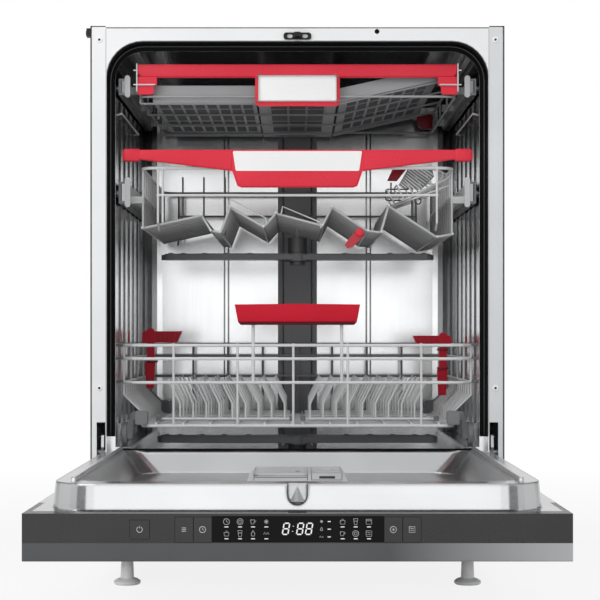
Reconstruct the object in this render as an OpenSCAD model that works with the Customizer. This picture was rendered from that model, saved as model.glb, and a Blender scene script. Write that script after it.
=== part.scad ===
/* [Cabinet] */
// Width of the cabinet
cabinet_w = 598; // [596:1:600]
// Height from the floor to the top of the cabinet
cabinet_h = 818; // [815:1:830]
// Depth of the cabinet behind its front edge
cabinet_d = 505; // [500:1:520]
// Thickness of the cabinet's sheet steel
sheet_t = 1; // [0.8:0.1:1.2]
// Width of the front edge strip of each side panel
strip_w = 22; // [20:1:22]
// Height of the plinth recess at the front
plinth_h = 100; // [80:5:120]
// Depth of the plinth recess at the front
plinth_d = 50; // [40:1:60]
// Height of the top crossbar
crossbar_h = 19; // [16:1:20]
// Height of the levelling feet
foot_h = 38; // [30:1:40]
// Diameter of a foot's pad
foot_d = 40; // [34:1:44]

/* [Tub] */
// Space between the tub's inside and each side of the cabinet
side_space = 33; // [32:0.5:35]
// Height of the lowest part of the tub floor
tub_floor_z = 180; // [178:1:183]
// Thickness of the tub's sheet steel
tub_t = 1.2; // [1:0.1:1.4]
// Radius of the tub's upper corners
tub_r = 42; // [36:1:46]
// Width of the wheel ledges
ledge_w = 24; // [22:1:26]
// Distance of the tub's front flange behind the cabinet's front edge
tub_set_back = 29; // [28:0.5:30]
// Spacing of the pressed ribs in the tub's side walls
rib_pitch = 66; // [60:1:80]
// Depth of the pressed ribs
rib_d = 2; // [1.5:0.1:2.2]
// Thickness of the rubber gasket
gasket_t = 2.6; // [2.4:0.1:2.8]

/* [Door] */
// Thickness of the door between its outer face and inner flange
door_t = 52; // [50:1:54]
// Gap between the closed door's flange and the cabinet
door_gap = 4; // [4:0.5:5]
// Distance of the hinge pivot behind the cabinet's front edge
pivot_y = 19.5; // [19:0.5:20]
// Height of the hinge pivot
pivot_z = 201.5; // [200:0.5:203]
// Angle at which the door stands
door_angle = 90; // [0:1:90]
// Gap between the door's side and the cabinet's side
door_side_gap = 1; // [0.5:0.5:2]
// Gap between the inner door tray and the tub's front collar
tray_side_gap = 3; // [3:0.5:5]
// Radius of the inner door tray's upper corners
tray_r = 52; // [48:1:56]
// Height of the guide ridges on the inner door tray
ridge_h = 5; // [4:0.5:5]
// Thickness of the door's inner sheet
liner_t = 1.2; // [1:0.1:1.4]
// Height of the console at the door's top edge
console_h = 116; // [110:1:120]
// Width of the dark control strip
strip_depth = 30; // [28:0.5:31]
// Width and length of a control key
key_w = 19.4; // [18:0.1:19.6]
// Travel of a control key
key_travel = 1.2; // [0.8:0.1:1.5]
// Width of the display window
window_w = 186; // [180:1:187]
// Width of the detergent dispenser
dispenser_w = 134; // [130:1:140]
// Height of the detergent dispenser
dispenser_h = 118; // [110:1:120]

/* [Racks] */
// Distance of the racks' front behind the cabinet's front edge
rack_front = 33.5; // [33.5:0.5:35]
// Space behind the racks
rack_space = 27.5; // [25:0.5:40]
// Diameter of the frame wires
wire_d = 4.8; // [4:0.2:5]
// Diameter of the thin wires
thin_d = 3.4; // [3:0.2:3.6]
// Gap between the lower rack and the tub's side
lower_side_gap = 8.5; // [8:0.5:12]
// Height of the lower rack's bottom wires
lower_z = 238; // [237:0.5:240]
// Height of the lower rack's top rail
lower_top_z = 356.5; // [350:0.5:362]
// Gap between the upper rack and the tub's side, for its rails
upper_side_gap = 37; // [36:0.5:40]
// Distance of the upper rack's top rail below the tub's ceiling
upper_drop = 169; // [164:1:176]
// Distance of the cutlery tray's floor below the tub's ceiling
tray_drop = 71; // [66:1:74]
// Gap between the cutlery tray and the tub's side, for its rails
tray_rail_gap = 34; // [33:0.5:38]
// Radius of the lower rack's wheels
wheel_r = 17; // [15:0.5:17]
// Clearance between the lower spray arm's sweep and the tub
lower_arm_gap = 3; // [3:1:20]
// Clearance between the upper spray arm's sweep and the tub
upper_arm_gap = 9; // [8:1:20]
// Spacing of the plate tines
tine_pitch = 19.6; // [18:0.2:22]

/* [Hidden] */

// Clearance between bodies that move past each other
gap = 0.3;
// Clearance between the closed door tray and the gasket
seal_gap = 0.4;
// Radial clearance of a running fit
fit = 0.05;
half_w = cabinet_w / 2;
tub_w = cabinet_w - 2 * side_space;
door_w = cabinet_w - 2 * door_side_gap;

// The tub's front frame: a collar between the strips, set back to the gasket flange
crossbar_top = cabinet_h - 2;
frame_top = crossbar_top - crossbar_h;
frame_half = half_w - strip_w;
tray_half = frame_half - tray_side_gap;
frame_r = tray_r + 2;
tub_half = tub_w / 2;
tub_top = frame_top - 11;
tub_back = cabinet_d - 8;
tray_lift = tub_set_back - gasket_t - seal_gap + door_gap;
land_z = pivot_z - pivot_y + tray_lift - door_gap;
ledge_z = land_z;
ledge_x = tub_half - ledge_w;
sill_z = 195;

// The door is drawn closed and upright, then swung about its pivot
door_top = cabinet_h - 2;
door_low = pivot_z + 25.5;
tongue_low = pivot_z + 5.5;
door_face = -door_gap - door_t;
tray_top = frame_top - 2.5;
tray_low = pivot_z + 54.5;
basin_top = tray_top - 34;
strip_face = -door_gap - 2 - strip_depth;
console_low = door_top - console_h;
door_half = door_w / 2;
lock_z = crossbar_top - 13;

// The row's origin is on the floor, under the middle of the open dishwasher
door_reach = door_top - pivot_z - pivot_y;
front_y = (door_reach - cabinet_d) / 2;

arm_y = (tub_set_back + tub_back - 12) / 2;
spray_hub_r = 8;
rack_back = tub_back - rack_space;
wire_y = rack_front + 8;
lower_half = tub_half - lower_side_gap;
upper_half = tub_half - upper_side_gap;
tray_rack_half = tub_half - tray_rail_gap;
upper_top_z = tub_top - upper_drop;
tray_z = tub_top - tray_drop;
upper_rail_z = upper_top_z - 36;
tray_rail_z = tray_z + 21;
rail_sheet = 1.4;
wheel_x = tub_half - 9;
wheel_w = 8;
wheel_z = ledge_z + gap + wheel_r;
wheel_pin_r = 3;
wheel_ys = [rack_front + 42, rack_back - 45];
lower_arm_z = tub_floor_z + 18;
upper_arm_z = upper_top_z - 127;
arm_h = 12;
duct_d = 13;
arm_reach = tub_back - duct_d - arm_y;
lower_arm_r = min(arm_reach, ledge_x - 15) - lower_arm_gap;
upper_arm_r = min(arm_reach, upper_half - 2) - upper_arm_gap;
foot_xs = [-half_w + 45, half_w - 45];
foot_ys = [plinth_d + 30, cabinet_d - 45];
sump_x = 20;
sump_y = arm_y - 30;
sump_r = 118;
filter_x = sump_x + 40;
filter_y = sump_y - 40;
dispenser_z = pivot_z + 89;
salt_x = sump_x - 150;
salt_y = 110;
inlet_x = 79 - half_w;
inlet_z = 75;
screw_zs = [cabinet_h - 20, cabinet_h - 523];

// ---------- Helpers ----------

function unit(v) = v / norm(v);

// Points of an arc about c from angle a to angle b
function arc(c, r, a, b, n) = [
    for (i = [0:n]) c + r * [cos(a + (b - a) * i / n), sin(a + (b - a) * i / n)]
];

// Outline of a rectangle with rounded corners
function rounded(x0, y0, x1, y1, r, n = 6) = concat(
    arc([x1 - r, y0 + r], r, -90, 0, n),
    arc([x1 - r, y1 - r], r, 0, 90, n),
    arc([x0 + r, y1 - r], r, 90, 180, n),
    arc([x0 + r, y0 + r], r, 180, 270, n)
);

// A right-hand outline completed with its mirror image
function mirrored(side) = concat(
    side,
    [for (i = [len(side) - 1:-1:0]) [-side[i].x, side[i].y]]
);

module at_front() {
    translate([0, front_y, 0]) children();
}

module on_door() {
    at_front() translate([0, pivot_y, pivot_z]) rotate([door_angle, 0, 0])
        translate([0, -pivot_y, -pivot_z]) children();
}

module both_sides() {
    children();
    mirror([1, 0, 0]) children();
}

// Box between two corners
module block(low, high) {
    translate(low) cube(high - low);
}

// Extrudes an outline of x and z from y0 to y1
module along_y(y0, y1) {
    translate([0, y1, 0]) rotate([90, 0, 0]) linear_extrude(y1 - y0) children();
}

// Extrudes an outline of y and z from x0 to x1
module along_x(x0, x1) {
    translate([x0, 0, 0]) rotate([90, 0, 90]) linear_extrude(x1 - x0) children();
}

module x_cylinder(x0, x1, y, z, r) {
    translate([x0, y, z]) rotate([0, 90, 0]) cylinder(r = r, h = x1 - x0, $fn = 48);
}

module y_cylinder(x, y0, y1, z, r) {
    translate([x, y1, z]) rotate([90, 0, 0]) cylinder(r = r, h = y1 - y0, $fn = 48);
}

// Straight wire from p to q
module rod(p, q, d, sides = 8) {
    v = q - p;
    translate(p) rotate([0, acos(v.z / norm(v)), atan2(v.y, v.x)])
        cylinder(d = d, h = norm(v), $fn = sides);
}

// Where each vertex of a ring, moved along d, meets the plane through p with normal n
function slid(ring, d, p, n) = [for (v = ring) v + d * (((p - v) * n) / (d * n))];

// Bent wire with mitred corners through a list of points
module wire(points, d, closed = false, sides = 8) {
    n = len(points);
    ways = [for (i = [0:n - 1]) unit(points[(i + 1) % n] - points[i])];
    start = closed ? unit(ways[n - 1] + ways[0]) : ways[0];
    side = unit(cross(ways[0], abs(ways[0].z) < 0.9 ? [0, 0, 1] : [1, 0, 0]));
    up = cross(ways[0], side);
    ring = [
        for (k = [0:sides - 1])
            points[0] + d / 2 * (cos((k + 0.5) * 360 / sides) * side
                + sin((k + 0.5) * 360 / sides) * up)
    ];
    last = closed ? n : n - 1;
    rings = [
        for (
            i = 0, now = slid(ring, ways[0], points[0], start);
            i <= last;
            i = i + 1,
            now = i <= last ? slid(
                now,
                ways[i - 1],
                points[i % n],
                closed || i < last ? unit(ways[i - 1] + ways[i % n]) : ways[i - 1]
            ) : []
        ) now
    ];
    count = closed ? n : n - 1;
    kept = closed ? [for (i = [0:n - 1]) rings[i]] : rings;
    faces = [
        for (i = [0:count - 1], k = [0:sides - 1]) [
            i * sides + k,
            (i + 1) % len(kept) * sides + k,
            (i + 1) % len(kept) * sides + (k + 1) % sides,
            i * sides + (k + 1) % sides
        ]
    ];
    caps = closed ? [] : [
        [for (k = [0:sides - 1]) k],
        [for (k = [sides - 1:-1:0]) count * sides + k]
    ];
    polyhedron([for (r = kept) each r], concat(faces, caps), convexity = 10);
}

// Level rounded loop of wire at height z
module loop(x, y0, y1, z, r, d) {
    wire([for (p = rounded(-x, y0, x, y1, r, 3)) [p.x, p.y, z]], d, closed = true);
}

// ---------- Cabinet ----------

// Plan outline of a right-hand side panel: front strip, side, rear flange, bent at radius 4
module side_plan() {
    polygon(concat(
        [[frame_half, sheet_t], [frame_half, 0]],
        arc([half_w - 4, 4], 4, -90, 0, 4),
        [
            [half_w, cabinet_d], [half_w - 14, cabinet_d],
            [half_w - 14, cabinet_d - sheet_t], [half_w - sheet_t, cabinet_d - sheet_t]
        ],
        arc([half_w - 4, 4], 4 - sheet_t, 0, -90, 4)
    ));
}

module side_panel() {
    at_front() difference() {
        translate([0, 0, foot_h + 4]) linear_extrude(cabinet_h - foot_h - 4) side_plan();
        block([frame_half - 1, -1, 0], [half_w + 1, plinth_d, plinth_h]);
        block(
            [frame_half - 1, -1, pivot_z - 36],
            [frame_half + 13, tub_set_back, pivot_z + 44]
        );
        for (z = screw_zs) y_cylinder(half_w - 13, -1, 3, z, 2.2);
        for (z = [300, 560]) block([half_w - 2, 120, z], [half_w + 1, 150, z + 8]);
    }
}

module left_side_panel() {
    color("white") mirror([1, 0, 0]) side_panel();
}

module right_side_panel() {
    color("white") side_panel();
}

// Front view of the frame's opening, grown outwards by g
module frame_outline(g = 0) {
    polygon(rounded(
        -frame_half - g, 120 - g, frame_half + g, frame_top + g, frame_r + g, 8
    ));
}

module top_crossbar() {
    color("white") at_front() {
        difference() {
            along_y(0, sheet_t) translate([-frame_half, frame_top - frame_r])
                square([2 * frame_half, crossbar_top - frame_top + frame_r]);
            along_y(-1, sheet_t + 1) frame_outline();
            y_cylinder(115, -1, sheet_t + 1, crossbar_top - 6, 3.6);
        }
        difference() {
            block(
                [-frame_half, sheet_t, crossbar_top - sheet_t],
                [frame_half, 45, crossbar_top]
            );
            for (x = [-150, 150]) translate([x, 25, crossbar_top - 5])
                cylinder(r = 2.6, h = 10, $fn = 32);
        }
        block([-frame_half + 60, 44, frame_top + 4], [frame_half - 60, 45, crossbar_top - sheet_t]);
    }
}

module top_cover() {
    color("silver") at_front() difference() {
        block(
            [-half_w + sheet_t, 45, crossbar_top - sheet_t],
            [half_w - sheet_t, cabinet_d - sheet_t, crossbar_top]
        );
        for (x = [-200, 0, 200]) block([x - 60, 140, 0], [x + 60, 150, cabinet_h]);
    }
}

module rear_panel() {
    color("silver") at_front() difference() {
        block(
            [-half_w + sheet_t, cabinet_d - 2 * sheet_t, 150],
            [half_w - sheet_t, cabinet_d - sheet_t, crossbar_top - sheet_t]
        );
        for (z = [240:30:330]) block([-200, 0, z], [-120, cabinet_d, z + 6]);
    }
}

module base_pan() {
    wall = 3;
    inner = half_w - sheet_t - wall;
    y0 = plinth_d + 2;
    y1 = cabinet_d - 2 * sheet_t;
    color("dimgray") at_front() {
        difference() {
            block([-half_w + sheet_t, y0, foot_h], [half_w - sheet_t, y1, 150]);
            block([-inner, y0 + wall, foot_h + wall], [inner, y1 - wall, 151]);
            block([-half_w, y0 + 60, 120], [half_w, y1 - 60, 151]);
            for (x = foot_xs, y = foot_ys) translate([x, y, foot_h - 1])
                cylinder(r = 5 + fit, h = 30, $fn = 32);
            y_cylinder(inlet_x, y1 - 10, y1 + 1, inlet_z, 22);
            y_cylinder(-inlet_x, y1 - 10, y1 + 1, inlet_z, 17);
        }
        for (x = foot_xs, y = foot_ys) translate([x, y, foot_h + wall]) difference() {
            cylinder(r = 9, h = 18, $fn = 32);
            translate([0, 0, -1]) cylinder(r = 5 + fit, h = 30, $fn = 32);
        }
        for (x = [-90, 90]) block([x - 1.5, y0 + wall, foot_h + wall], [x + 1.5, y1 - wall, 44]);
    }
}

module levelling_feet() {
    color("gainsboro") at_front() for (x = foot_xs, y = foot_ys) translate([x, y, 0])
        rotate_extrude($fn = 36) polygon([
            [0, 0], [foot_d / 2 - 2, 0], [foot_d / 2, 2], [foot_d / 2, 5], [foot_d / 2 - 4, 8],
            [10, 10], [9, foot_h], [5, foot_h], [5, foot_h + 19], [0, foot_h + 19]
        ]);
}

module side_buffer() {
    color("black") at_front() translate([-half_w, 0, cabinet_h - 15]) {
        block([-6, 2, 0], [0, 14, 12]);
        x_cylinder(-7, -6, 8, 6, 4);
    }
}

module panel_screws() {
    color("silver") at_front() both_sides() for (z = screw_zs)
        translate([half_w - 13, 0, z]) rotate([90, 0, 0]) rotate_extrude($fn = 32) polygon([
            [0, -8], [2.1, -8], [2.1, 0], [4.5, 0], [4.5, 0.6], [3.6, 1.4], [1.2, 1.4],
            [1.2, 0.8], [0, 0.8]
        ]);
}

module door_catch() {
    color("black") at_front() {
        difference() {
            along_y(-3, 0) polygon(rounded(-20, lock_z - 5, 20, lock_z + 5, 4));
            for (x = [-11, 11]) along_y(-4, 1)
                polygon(rounded(x - 4, lock_z - 3, x + 4, lock_z + 3, 2.9));
        }
        difference() {
            along_y(-20, -3) polygon(rounded(-5, lock_z - 3, 5, lock_z + 3, 2));
            block([-2.5, -17, lock_z - 5], [2.5, -9, lock_z + 5]);
        }
    }
}

// ---------- Tub ----------

// Front view of the tub's inside, grown outwards by g, with the wheel ledges
module tub_outline(g = 0) {
    polygon(mirrored(concat(
        [
            [ledge_x - 8 + g / 2, tub_floor_z - g], [ledge_x + g, ledge_z - g - 4],
            [ledge_x + 3 + g, ledge_z - g], [tub_half + g, ledge_z - g]
        ],
        arc([tub_half - tub_r, tub_top - tub_r], tub_r + g, 0, 90, 8)
    )));
}

// The tub's inside as a solid, grown outwards by g, from y0 back
module tub_space(y0, g = 0) {
    intersection() {
        along_y(y0, tub_back + g) tub_outline(g);
        linear_extrude(cabinet_h) polygon(mirrored(concat(
            [[tub_half + g, 0]],
            arc([tub_half - 30, tub_back - 30], 30 + g, 0, 90, 5)
        )));
        along_x(-half_w, half_w) polygon(concat(
            [[0, 0], [tub_back + g, 0]],
            arc([tub_back - 24, tub_top - 24], 24 + g, 0, 90, 5),
            [[0, tub_top + g]]
        ));
    }
}

rib_y0 = 92;
rib_count = floor((tub_back - 70 - rib_y0) / rib_pitch) + 1;

// Vertical beads pressed into the side walls, and two in the back wall
module ribs(g = 0) {
    both_sides() {
        for (i = [0:rib_count - 1]) translate([tub_half + g, rib_y0 + i * rib_pitch, 240])
            linear_extrude(tub_top - 306) polygon([[1, -13], [0, -13], [-rib_d, -9], [-rib_d, 9], [0, 13], [1, 13]]);
        translate([124, tub_back + g, 225]) linear_extrude(tub_top - 286)
            polygon([[-5, 1], [-5, 0], [-2, -1.5], [2, -1.5], [5, 0], [5, 1]]);
    }
}

module tub() {
    color("silver") at_front() {
        difference() {
            union() {
                tub_space(tub_set_back, tub_t);
                along_y(tub_set_back, tub_set_back + tub_t) frame_outline();
                along_y(0, tub_set_back) frame_outline();
            }
            along_y(-1, tub_set_back) frame_outline(-tub_t);
            difference() {
                tub_space(-2);
                ribs();
            }
            ribs(tub_t);
            block([-half_w, -2, 0], [half_w, tub_set_back, pivot_z - 36]);
            block([-half_w, tub_set_back - 1, 0], [half_w, tub_set_back + 5, tub_floor_z - 10]);
            translate([sump_x, sump_y, 100]) cylinder(r = sump_r - 8, h = 100, $fn = 64);
            translate([salt_x, salt_y, tub_floor_z - 9]) cylinder(r = 24, h = 10, $fn = 48);
        }
        intersection() {
            block([-half_w, tub_set_back, 0], [half_w, tub_set_back + tub_t, sill_z]);
            along_y(0, 99) tub_outline();
        }
    }
}

module tub_gasket() {
    color("black") at_front() difference() {
        along_y(tub_set_back - gasket_t, tub_set_back) frame_outline(-tub_t);
        along_y(0, cabinet_d) tub_outline(0.3);
        along_y(0, tub_set_back - gasket_t + 0.8) frame_outline(-tub_t - 2.5 - 5);
        block([-half_w, 0, 0], [half_w, cabinet_d, pivot_z + 22]);
    }
}

module feed_duct() {
    color("dimgray") at_front() intersection() {
        union() {
            linear_extrude(cabinet_h) polygon([
                [-34, tub_back + 1], [-34, tub_back - 3], [-26, tub_back - 3],
                [-23, tub_back - duct_d], [23, tub_back - duct_d], [26, tub_back - 3],
                [34, tub_back - 3], [34, tub_back + 1]
            ]);
            along_y(arm_y + 30, tub_back) polygon([
                [-26, 0], [-26, tub_floor_z + 8], [-20, tub_floor_z + 12],
                [20, tub_floor_z + 12], [26, tub_floor_z + 8], [26, 0]
            ]);
            block([-20, arm_y - 26, tub_top - 8], [20, tub_back, tub_top]);
            y_cylinder(0, rack_back + 9, tub_back, upper_arm_z + 30, 15);
        }
        tub_space(0);
        difference() {
            block([-half_w, 0, 0], [half_w, cabinet_d, cabinet_h]);
            block([-half_w, 0, 0], [half_w, sump_y + sump_r + 2, tub_floor_z + 20]);
            y_cylinder(0, rack_back, tub_back - 4, upper_arm_z + 30, 8);
        }
    }
}

module ceiling_shower() {
    color("gray") at_front() difference() {
        translate([0, arm_y, tub_top - 16]) cylinder(r1 = 20, r2 = 24, h = 8, $fn = 48);
        for (a = [0:60:300]) translate([12 * cos(a), arm_y + 12 * sin(a), tub_top - 17])
            cylinder(r = 1.5, h = 5, $fn = 16);
    }
}

// ---------- Base: sump, filters, pumps and water fittings ----------

module sump() {
    top = tub_floor_z - tub_t;
    color("dimgray") at_front() {
        difference() {
            union() {
                translate([sump_x, sump_y, 0]) rotate_extrude($fn = 64) polygon([
                    [0, top - 71], [60, top - 71], [100, top - 49], [106, top - 10],
                    [sump_r, top - 7], [sump_r, top], [103, top], [97, top - 45],
                    [58, top - 68], [0, top - 68]
                ]);
                translate([0, arm_y, top - 70])
                    cylinder(r = 15, h = lower_arm_z - gap - top + 70, $fn = 48);
                translate([0, arm_y, top])
                    cylinder(r = spray_hub_r, h = lower_arm_z + 11 - top, $fn = 48);
                x_cylinder(sump_x + 70, sump_x + 104, sump_y, top - 54, 12);
            }
            translate([0, arm_y, top - 71]) cylinder(r = 4, h = 120, $fn = 32);
        }
    }
}

module fine_filter() {
    top = tub_floor_z - tub_t;
    color("silver") at_front() difference() {
        translate([sump_x, sump_y, top]) cylinder(r = sump_r - 9, h = 2.6, $fn = 64);
        translate([0, arm_y, top - 1]) cylinder(r = 15.5, h = 5, $fn = 48);
        translate([filter_x, filter_y, top - 1]) cylinder(r = 36.5, h = 5, $fn = 64);
        for (a = [0:18:342], r = [88, 97]) translate([
            sump_x + r * cos(a), sump_y + r * sin(a), top - 1
        ]) cylinder(r = 2, h = 5, $fn = 8);
    }
}

module coarse_filter() {
    rim = tub_floor_z - tub_t + 2.6 + gap;
    color("gray") at_front() translate([filter_x, filter_y, 0]) {
        difference() {
            union() {
                translate([0, 0, rim - 44]) cylinder(r = 35.8, h = 45, $fn = 64);
                translate([0, 0, rim]) cylinder(r = 41, h = 2.4, $fn = 64);
            }
            translate([0, 0, rim - 42]) cylinder(r = 33.6, h = 60, $fn = 64);
            for (a = [0:30:330]) rotate(a) block([30, -4, rim - 38], [40, 4, rim - 6]);
        }
        block([-34.5, -2, rim - 8], [34.5, 2, rim + 9]);
    }
}

module salt_cap() {
    color("gainsboro") at_front() translate([salt_x, salt_y, tub_floor_z]) {
        translate([0, 0, gap]) cylinder(r = 31, h = 5, $fn = 48);
        translate([0, 0, -14]) cylinder(r = 23.6, h = 15, $fn = 48);
        for (a = [0:60:300]) rotate(a) block([10, -3, 2], [29, 3, 10]);
    }
}

module water_softener() {
    neck = tub_floor_z - tub_t;
    x0 = 84 - half_w;
    x1 = sump_x - 125;
    color("white") at_front() difference() {
        union() {
            block([x0, 66, neck - 90], [x1, 330, neck - 14]);
            translate([salt_x, salt_y, neck - 15]) cylinder(r = 31, h = 15, $fn = 48);
            for (x = [x0 + 10, x1 - 30], y = [90, 300])
                block([x, y, foot_h + 3], [x + 20, y + 20, neck - 89]);
        }
        translate([salt_x, salt_y, neck - 80]) cylinder(r = 24, h = 100, $fn = 48);
        for (y = [160:30:310]) block([x0 - 1, y, neck - 80], [x0 + 3, y + 12, neck - 24]);
    }
}

module circulation_pump() {
    color("darkslategray") at_front() translate([sump_x + 104, sump_y, foot_h + 67]) {
        x_cylinder(0, 22, 0, 0, 48);
        x_cylinder(22, 28, 0, 0, 36);
        x_cylinder(28, 116, 0, 0, 42);
        x_cylinder(116, 126, 0, 0, 20);
        for (x = [36, 91]) block([x, -30, -64], [x + 12, 30, -35]);
    }
}

module drain_pump() {
    color("darkslategray") at_front() translate([-30, 0, foot_h + 45]) {
        y_cylinder(0, 64, 100, 0, 26);
        y_cylinder(0, 58, 64, 0, 18);
        x_cylinder(-40, 0, 84, 12, 8);
        block([-16, 70, -42], [16, 92, -20]);
    }
}

module inlet_valve() {
    y1 = cabinet_d - 2 * sheet_t;
    color("white") at_front() {
        y_cylinder(inlet_x, y1 - 16, cabinet_d, inlet_z, 13.2);
        y_cylinder(inlet_x, y1 - 24, y1 - 16, inlet_z, 17);
        block([inlet_x - 14, y1 - 60, foot_h + 3], [inlet_x + 14, y1 - 23, inlet_z + 14]);
        translate([inlet_x, y1 - 45, inlet_z + 13]) cylinder(r = 11, h = 26, $fn = 32);
    }
}

module drain_outlet() {
    y1 = cabinet_d - 2 * sheet_t;
    color("gray") at_front() difference() {
        union() {
            y_cylinder(-inlet_x, y1 - 22, cabinet_d, inlet_z, 10);
            block([-inlet_x - 15, y1 - 50, foot_h + 3], [-inlet_x + 15, y1 - 21, inlet_z + 14]);
        }
        y_cylinder(-inlet_x, y1 - 40, cabinet_d + 1, inlet_z, 7.5);
    }
}

// ---------- Hinges ----------

module hinge_brackets() {
    color("silver") at_front() both_sides() {
        x_cylinder(frame_half + 2, half_w - sheet_t - 2, pivot_y, pivot_z, 4);
        along_x(half_w - sheet_t - 2, half_w - sheet_t) polygon([
            [plinth_d + 2, 150], [plinth_d + 50, 150], [plinth_d + 50, 168],
            [pivot_y + 16, pivot_z + 14], [pivot_y - 12, pivot_z + 14],
            [pivot_y - 12, pivot_z - 14], [plinth_d + 2, pivot_z - 30]
        ]);
    }
}

arm_x = frame_half + 4;
arm_t = 4;

module hinge_arms() {
    color("silver") on_door() both_sides() difference() {
        along_x(arm_x, arm_x + arm_t) {
            hull() {
                translate([pivot_y, pivot_z]) circle(r = 10, $fn = 32);
                translate([-17, pivot_z + 36.5]) circle(r = 8, $fn = 32);
            }
            hull() {
                translate([pivot_y, pivot_z]) circle(r = 8, $fn = 32);
                translate([pivot_y + 22, pivot_z]) circle(r = 5, $fn = 32);
            }
            hull() {
                translate([-17, pivot_z + 36.5]) circle(r = 8, $fn = 32);
                translate([-28, pivot_z + 70]) circle(r = 10, $fn = 32);
            }
            translate([-38, pivot_z + 60]) square([33 - door_gap + 5 - liner_t, 150]);
        }
        x_cylinder(arm_x - 1, arm_x + arm_t + 1, pivot_y, pivot_z, 4 + fit);
        x_cylinder(arm_x - 1, arm_x + arm_t + 1, pivot_y + 22, pivot_z, 2);
        for (z = [pivot_z + 90, pivot_z + 190])
            x_cylinder(arm_x - 1, arm_x + arm_t + 1, -28, z, 2.2);
    }
}

// Where the spring's rod hooks into the arm's horn with the door as it stands
horn = [pivot_y + 22 * cos(door_angle), pivot_z + 22 * sin(door_angle)];
spring_foot = [pivot_y + 240, 110];
spring_turns = 8;
coil_r = 6.5;

module hinge_springs() {
    way = spring_foot - horn;
    long = norm(way);
    coil_l = 0.4 * long;
    coil = [
        for (i = [0:spring_turns * 8])
            [i / (spring_turns * 8) * coil_l, coil_r * cos(i * 45), coil_r * sin(i * 45)]
    ];
    color("gray") at_front() both_sides() translate([arm_x + arm_t + 2, 0, 0]) {
        x_cylinder(-arm_t - 3, 1, horn.x, horn.y, 1.9);
        translate([0, horn.x, horn.y]) rotate([atan2(way.y, way.x), 0, 0]) rotate([0, 0, 90]) {
            translate([long - coil_l - 18, 0, 0]) wire(coil, 2.2, sides = 5);
            rod([0, 0, 0], [long - coil_l - 17, 0, 0], 3);
            wire([
                [long - coil_l - 18, 0, 0], [long - coil_l - 18, coil_r, 0],
                [long - coil_l - 18, coil_r, 1]
            ], 2.2, sides = 6);
            rod([long - 18, coil_r, 0], [long, 0, 0], 2.2);
        }
    }
}

// ---------- Door ----------

module door_outer_panel() {
    color("darkgray") on_door() {
        inner = door_half - sheet_t;
        difference() {
            block([-door_half, door_face, door_low], [door_half, -door_gap - liner_t, console_low]);
            block([-inner, door_face + sheet_t, door_low + sheet_t], [inner, 0, console_low + 1]);
            both_sides() block([arm_x - 4, -40, door_low - 1], [arm_x + arm_t + 4, 0, door_low + 2]);
            for (x = [48 - door_half, door_half - 48], z = [door_low + 90, door_low + 350])
                y_cylinder(x, door_face - 1, door_face + 2, z, 2.5);
        }
        difference() {
            block(
                [-door_half, door_face, console_low],
                [door_half, door_face + 12, door_top - 26]
            );
            block(
                [-inner, door_face + sheet_t, console_low - 1],
                [inner, door_face + 13, door_top - 20]
            );
        }
    }
}

// Front view of the inner door tray, drawn in by g
module tray_outline(g, lower = tray_low) {
    polygon(rounded(-tray_half + g, lower + g, tray_half - g, tray_top - g, tray_r - g, 8));
}

// Solid between two outlines of the tray, at depths y0 and y1
module tray_block(g0, y0, g1, y1) {
    hull() {
        along_y(y0, y0 + 0.01) tray_outline(g0);
        along_y(y1 - 0.01, y1) tray_outline(g1);
    }
}

module basin_block(g, y0) {
    land_y = tray_lift - door_gap;
    hull() {
        along_y(y0, y0 + 0.01) polygon(rounded(
            52 - tray_half - g, tray_low + 25 - g, tray_half - 52 + g, basin_top - 14 + g,
            40 + g, 6
        ));
        along_y(land_y, land_y + 0.01) polygon(rounded(
            29 - tray_half - g, tray_low + 2 - g, tray_half - 29 + g, basin_top + g, 28 + g, 6
        ));
    }
}

// Plan of the catch groove in the tray's upper wall, grown by g, open at depth y1
module groove_outline(g, y1) {
    polygon(concat(arc([0, 14], 11 + g, 180, 360, 8), [[11 + g, y1], [-11 - g, y1]]));
}

module door_liner() {
    land_y = tray_lift - door_gap;
    back = -door_gap - liner_t;
    floor_y = -door_gap - 1;
    color("silver") on_door() difference() {
        union() {
            block([-door_half, back, door_low], [door_half, -door_gap, console_low]);
            block([-door_half + 7, back, console_low], [door_half - 7, -door_gap, door_top - 25]);
            block([6 - tray_half, back, tongue_low], [tray_half - 6, -door_gap, door_low + 1]);
            tray_block(0, -door_gap, 3, land_y);
            translate([0, 0, tray_top - 12 - liner_t]) linear_extrude(11)
                groove_outline(liner_t, land_y);
            both_sides() along_x(tray_half - 28, tray_half - 23) polygon([
                [0, tray_low + 8], [land_y + ridge_h, tray_low + 14],
                [land_y + ridge_h, basin_top + 6], [0, basin_top + 12]
            ]);
        }
        difference() {
            translate([0, -liner_t, 0]) tray_block(liner_t, -door_gap - 3, 3 + liner_t, land_y);
            basin_block(liner_t, floor_y - liner_t);
            translate([0, 0, tray_top - 12 - liner_t]) linear_extrude(11)
                groove_outline(liner_t, land_y);
        }
        basin_block(0, floor_y);
        both_sides() block([arm_x - 4, -9, door_low - 1], [arm_x + arm_t + 4, 9, door_low + 36]);
        block([-dispenser_w / 2 + 3, -20, dispenser_z + 3],
            [dispenser_w / 2 - 3, 10, dispenser_z + dispenser_h - 3]);
        translate([0, 0, tray_top - 12]) linear_extrude(20) groove_outline(0, land_y + 2);
    }
}

// ---------- Console ----------

band_low = door_top - 26;
strip_wall = 3;
strip_back = -door_gap - 2;
console_half = door_half - 0.5;
board_top = door_top - 9;
key_xs = [-170.3, -122.4, -102.3, 103.5, 123.7];
key_ws = [key_w + 1.6, key_w, key_w, key_w, key_w];

// The power key sits within the strip, and the others reach almost across it
key_edges = [4.6, 1.2, 1.2, 1.2, 1.2];

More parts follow.
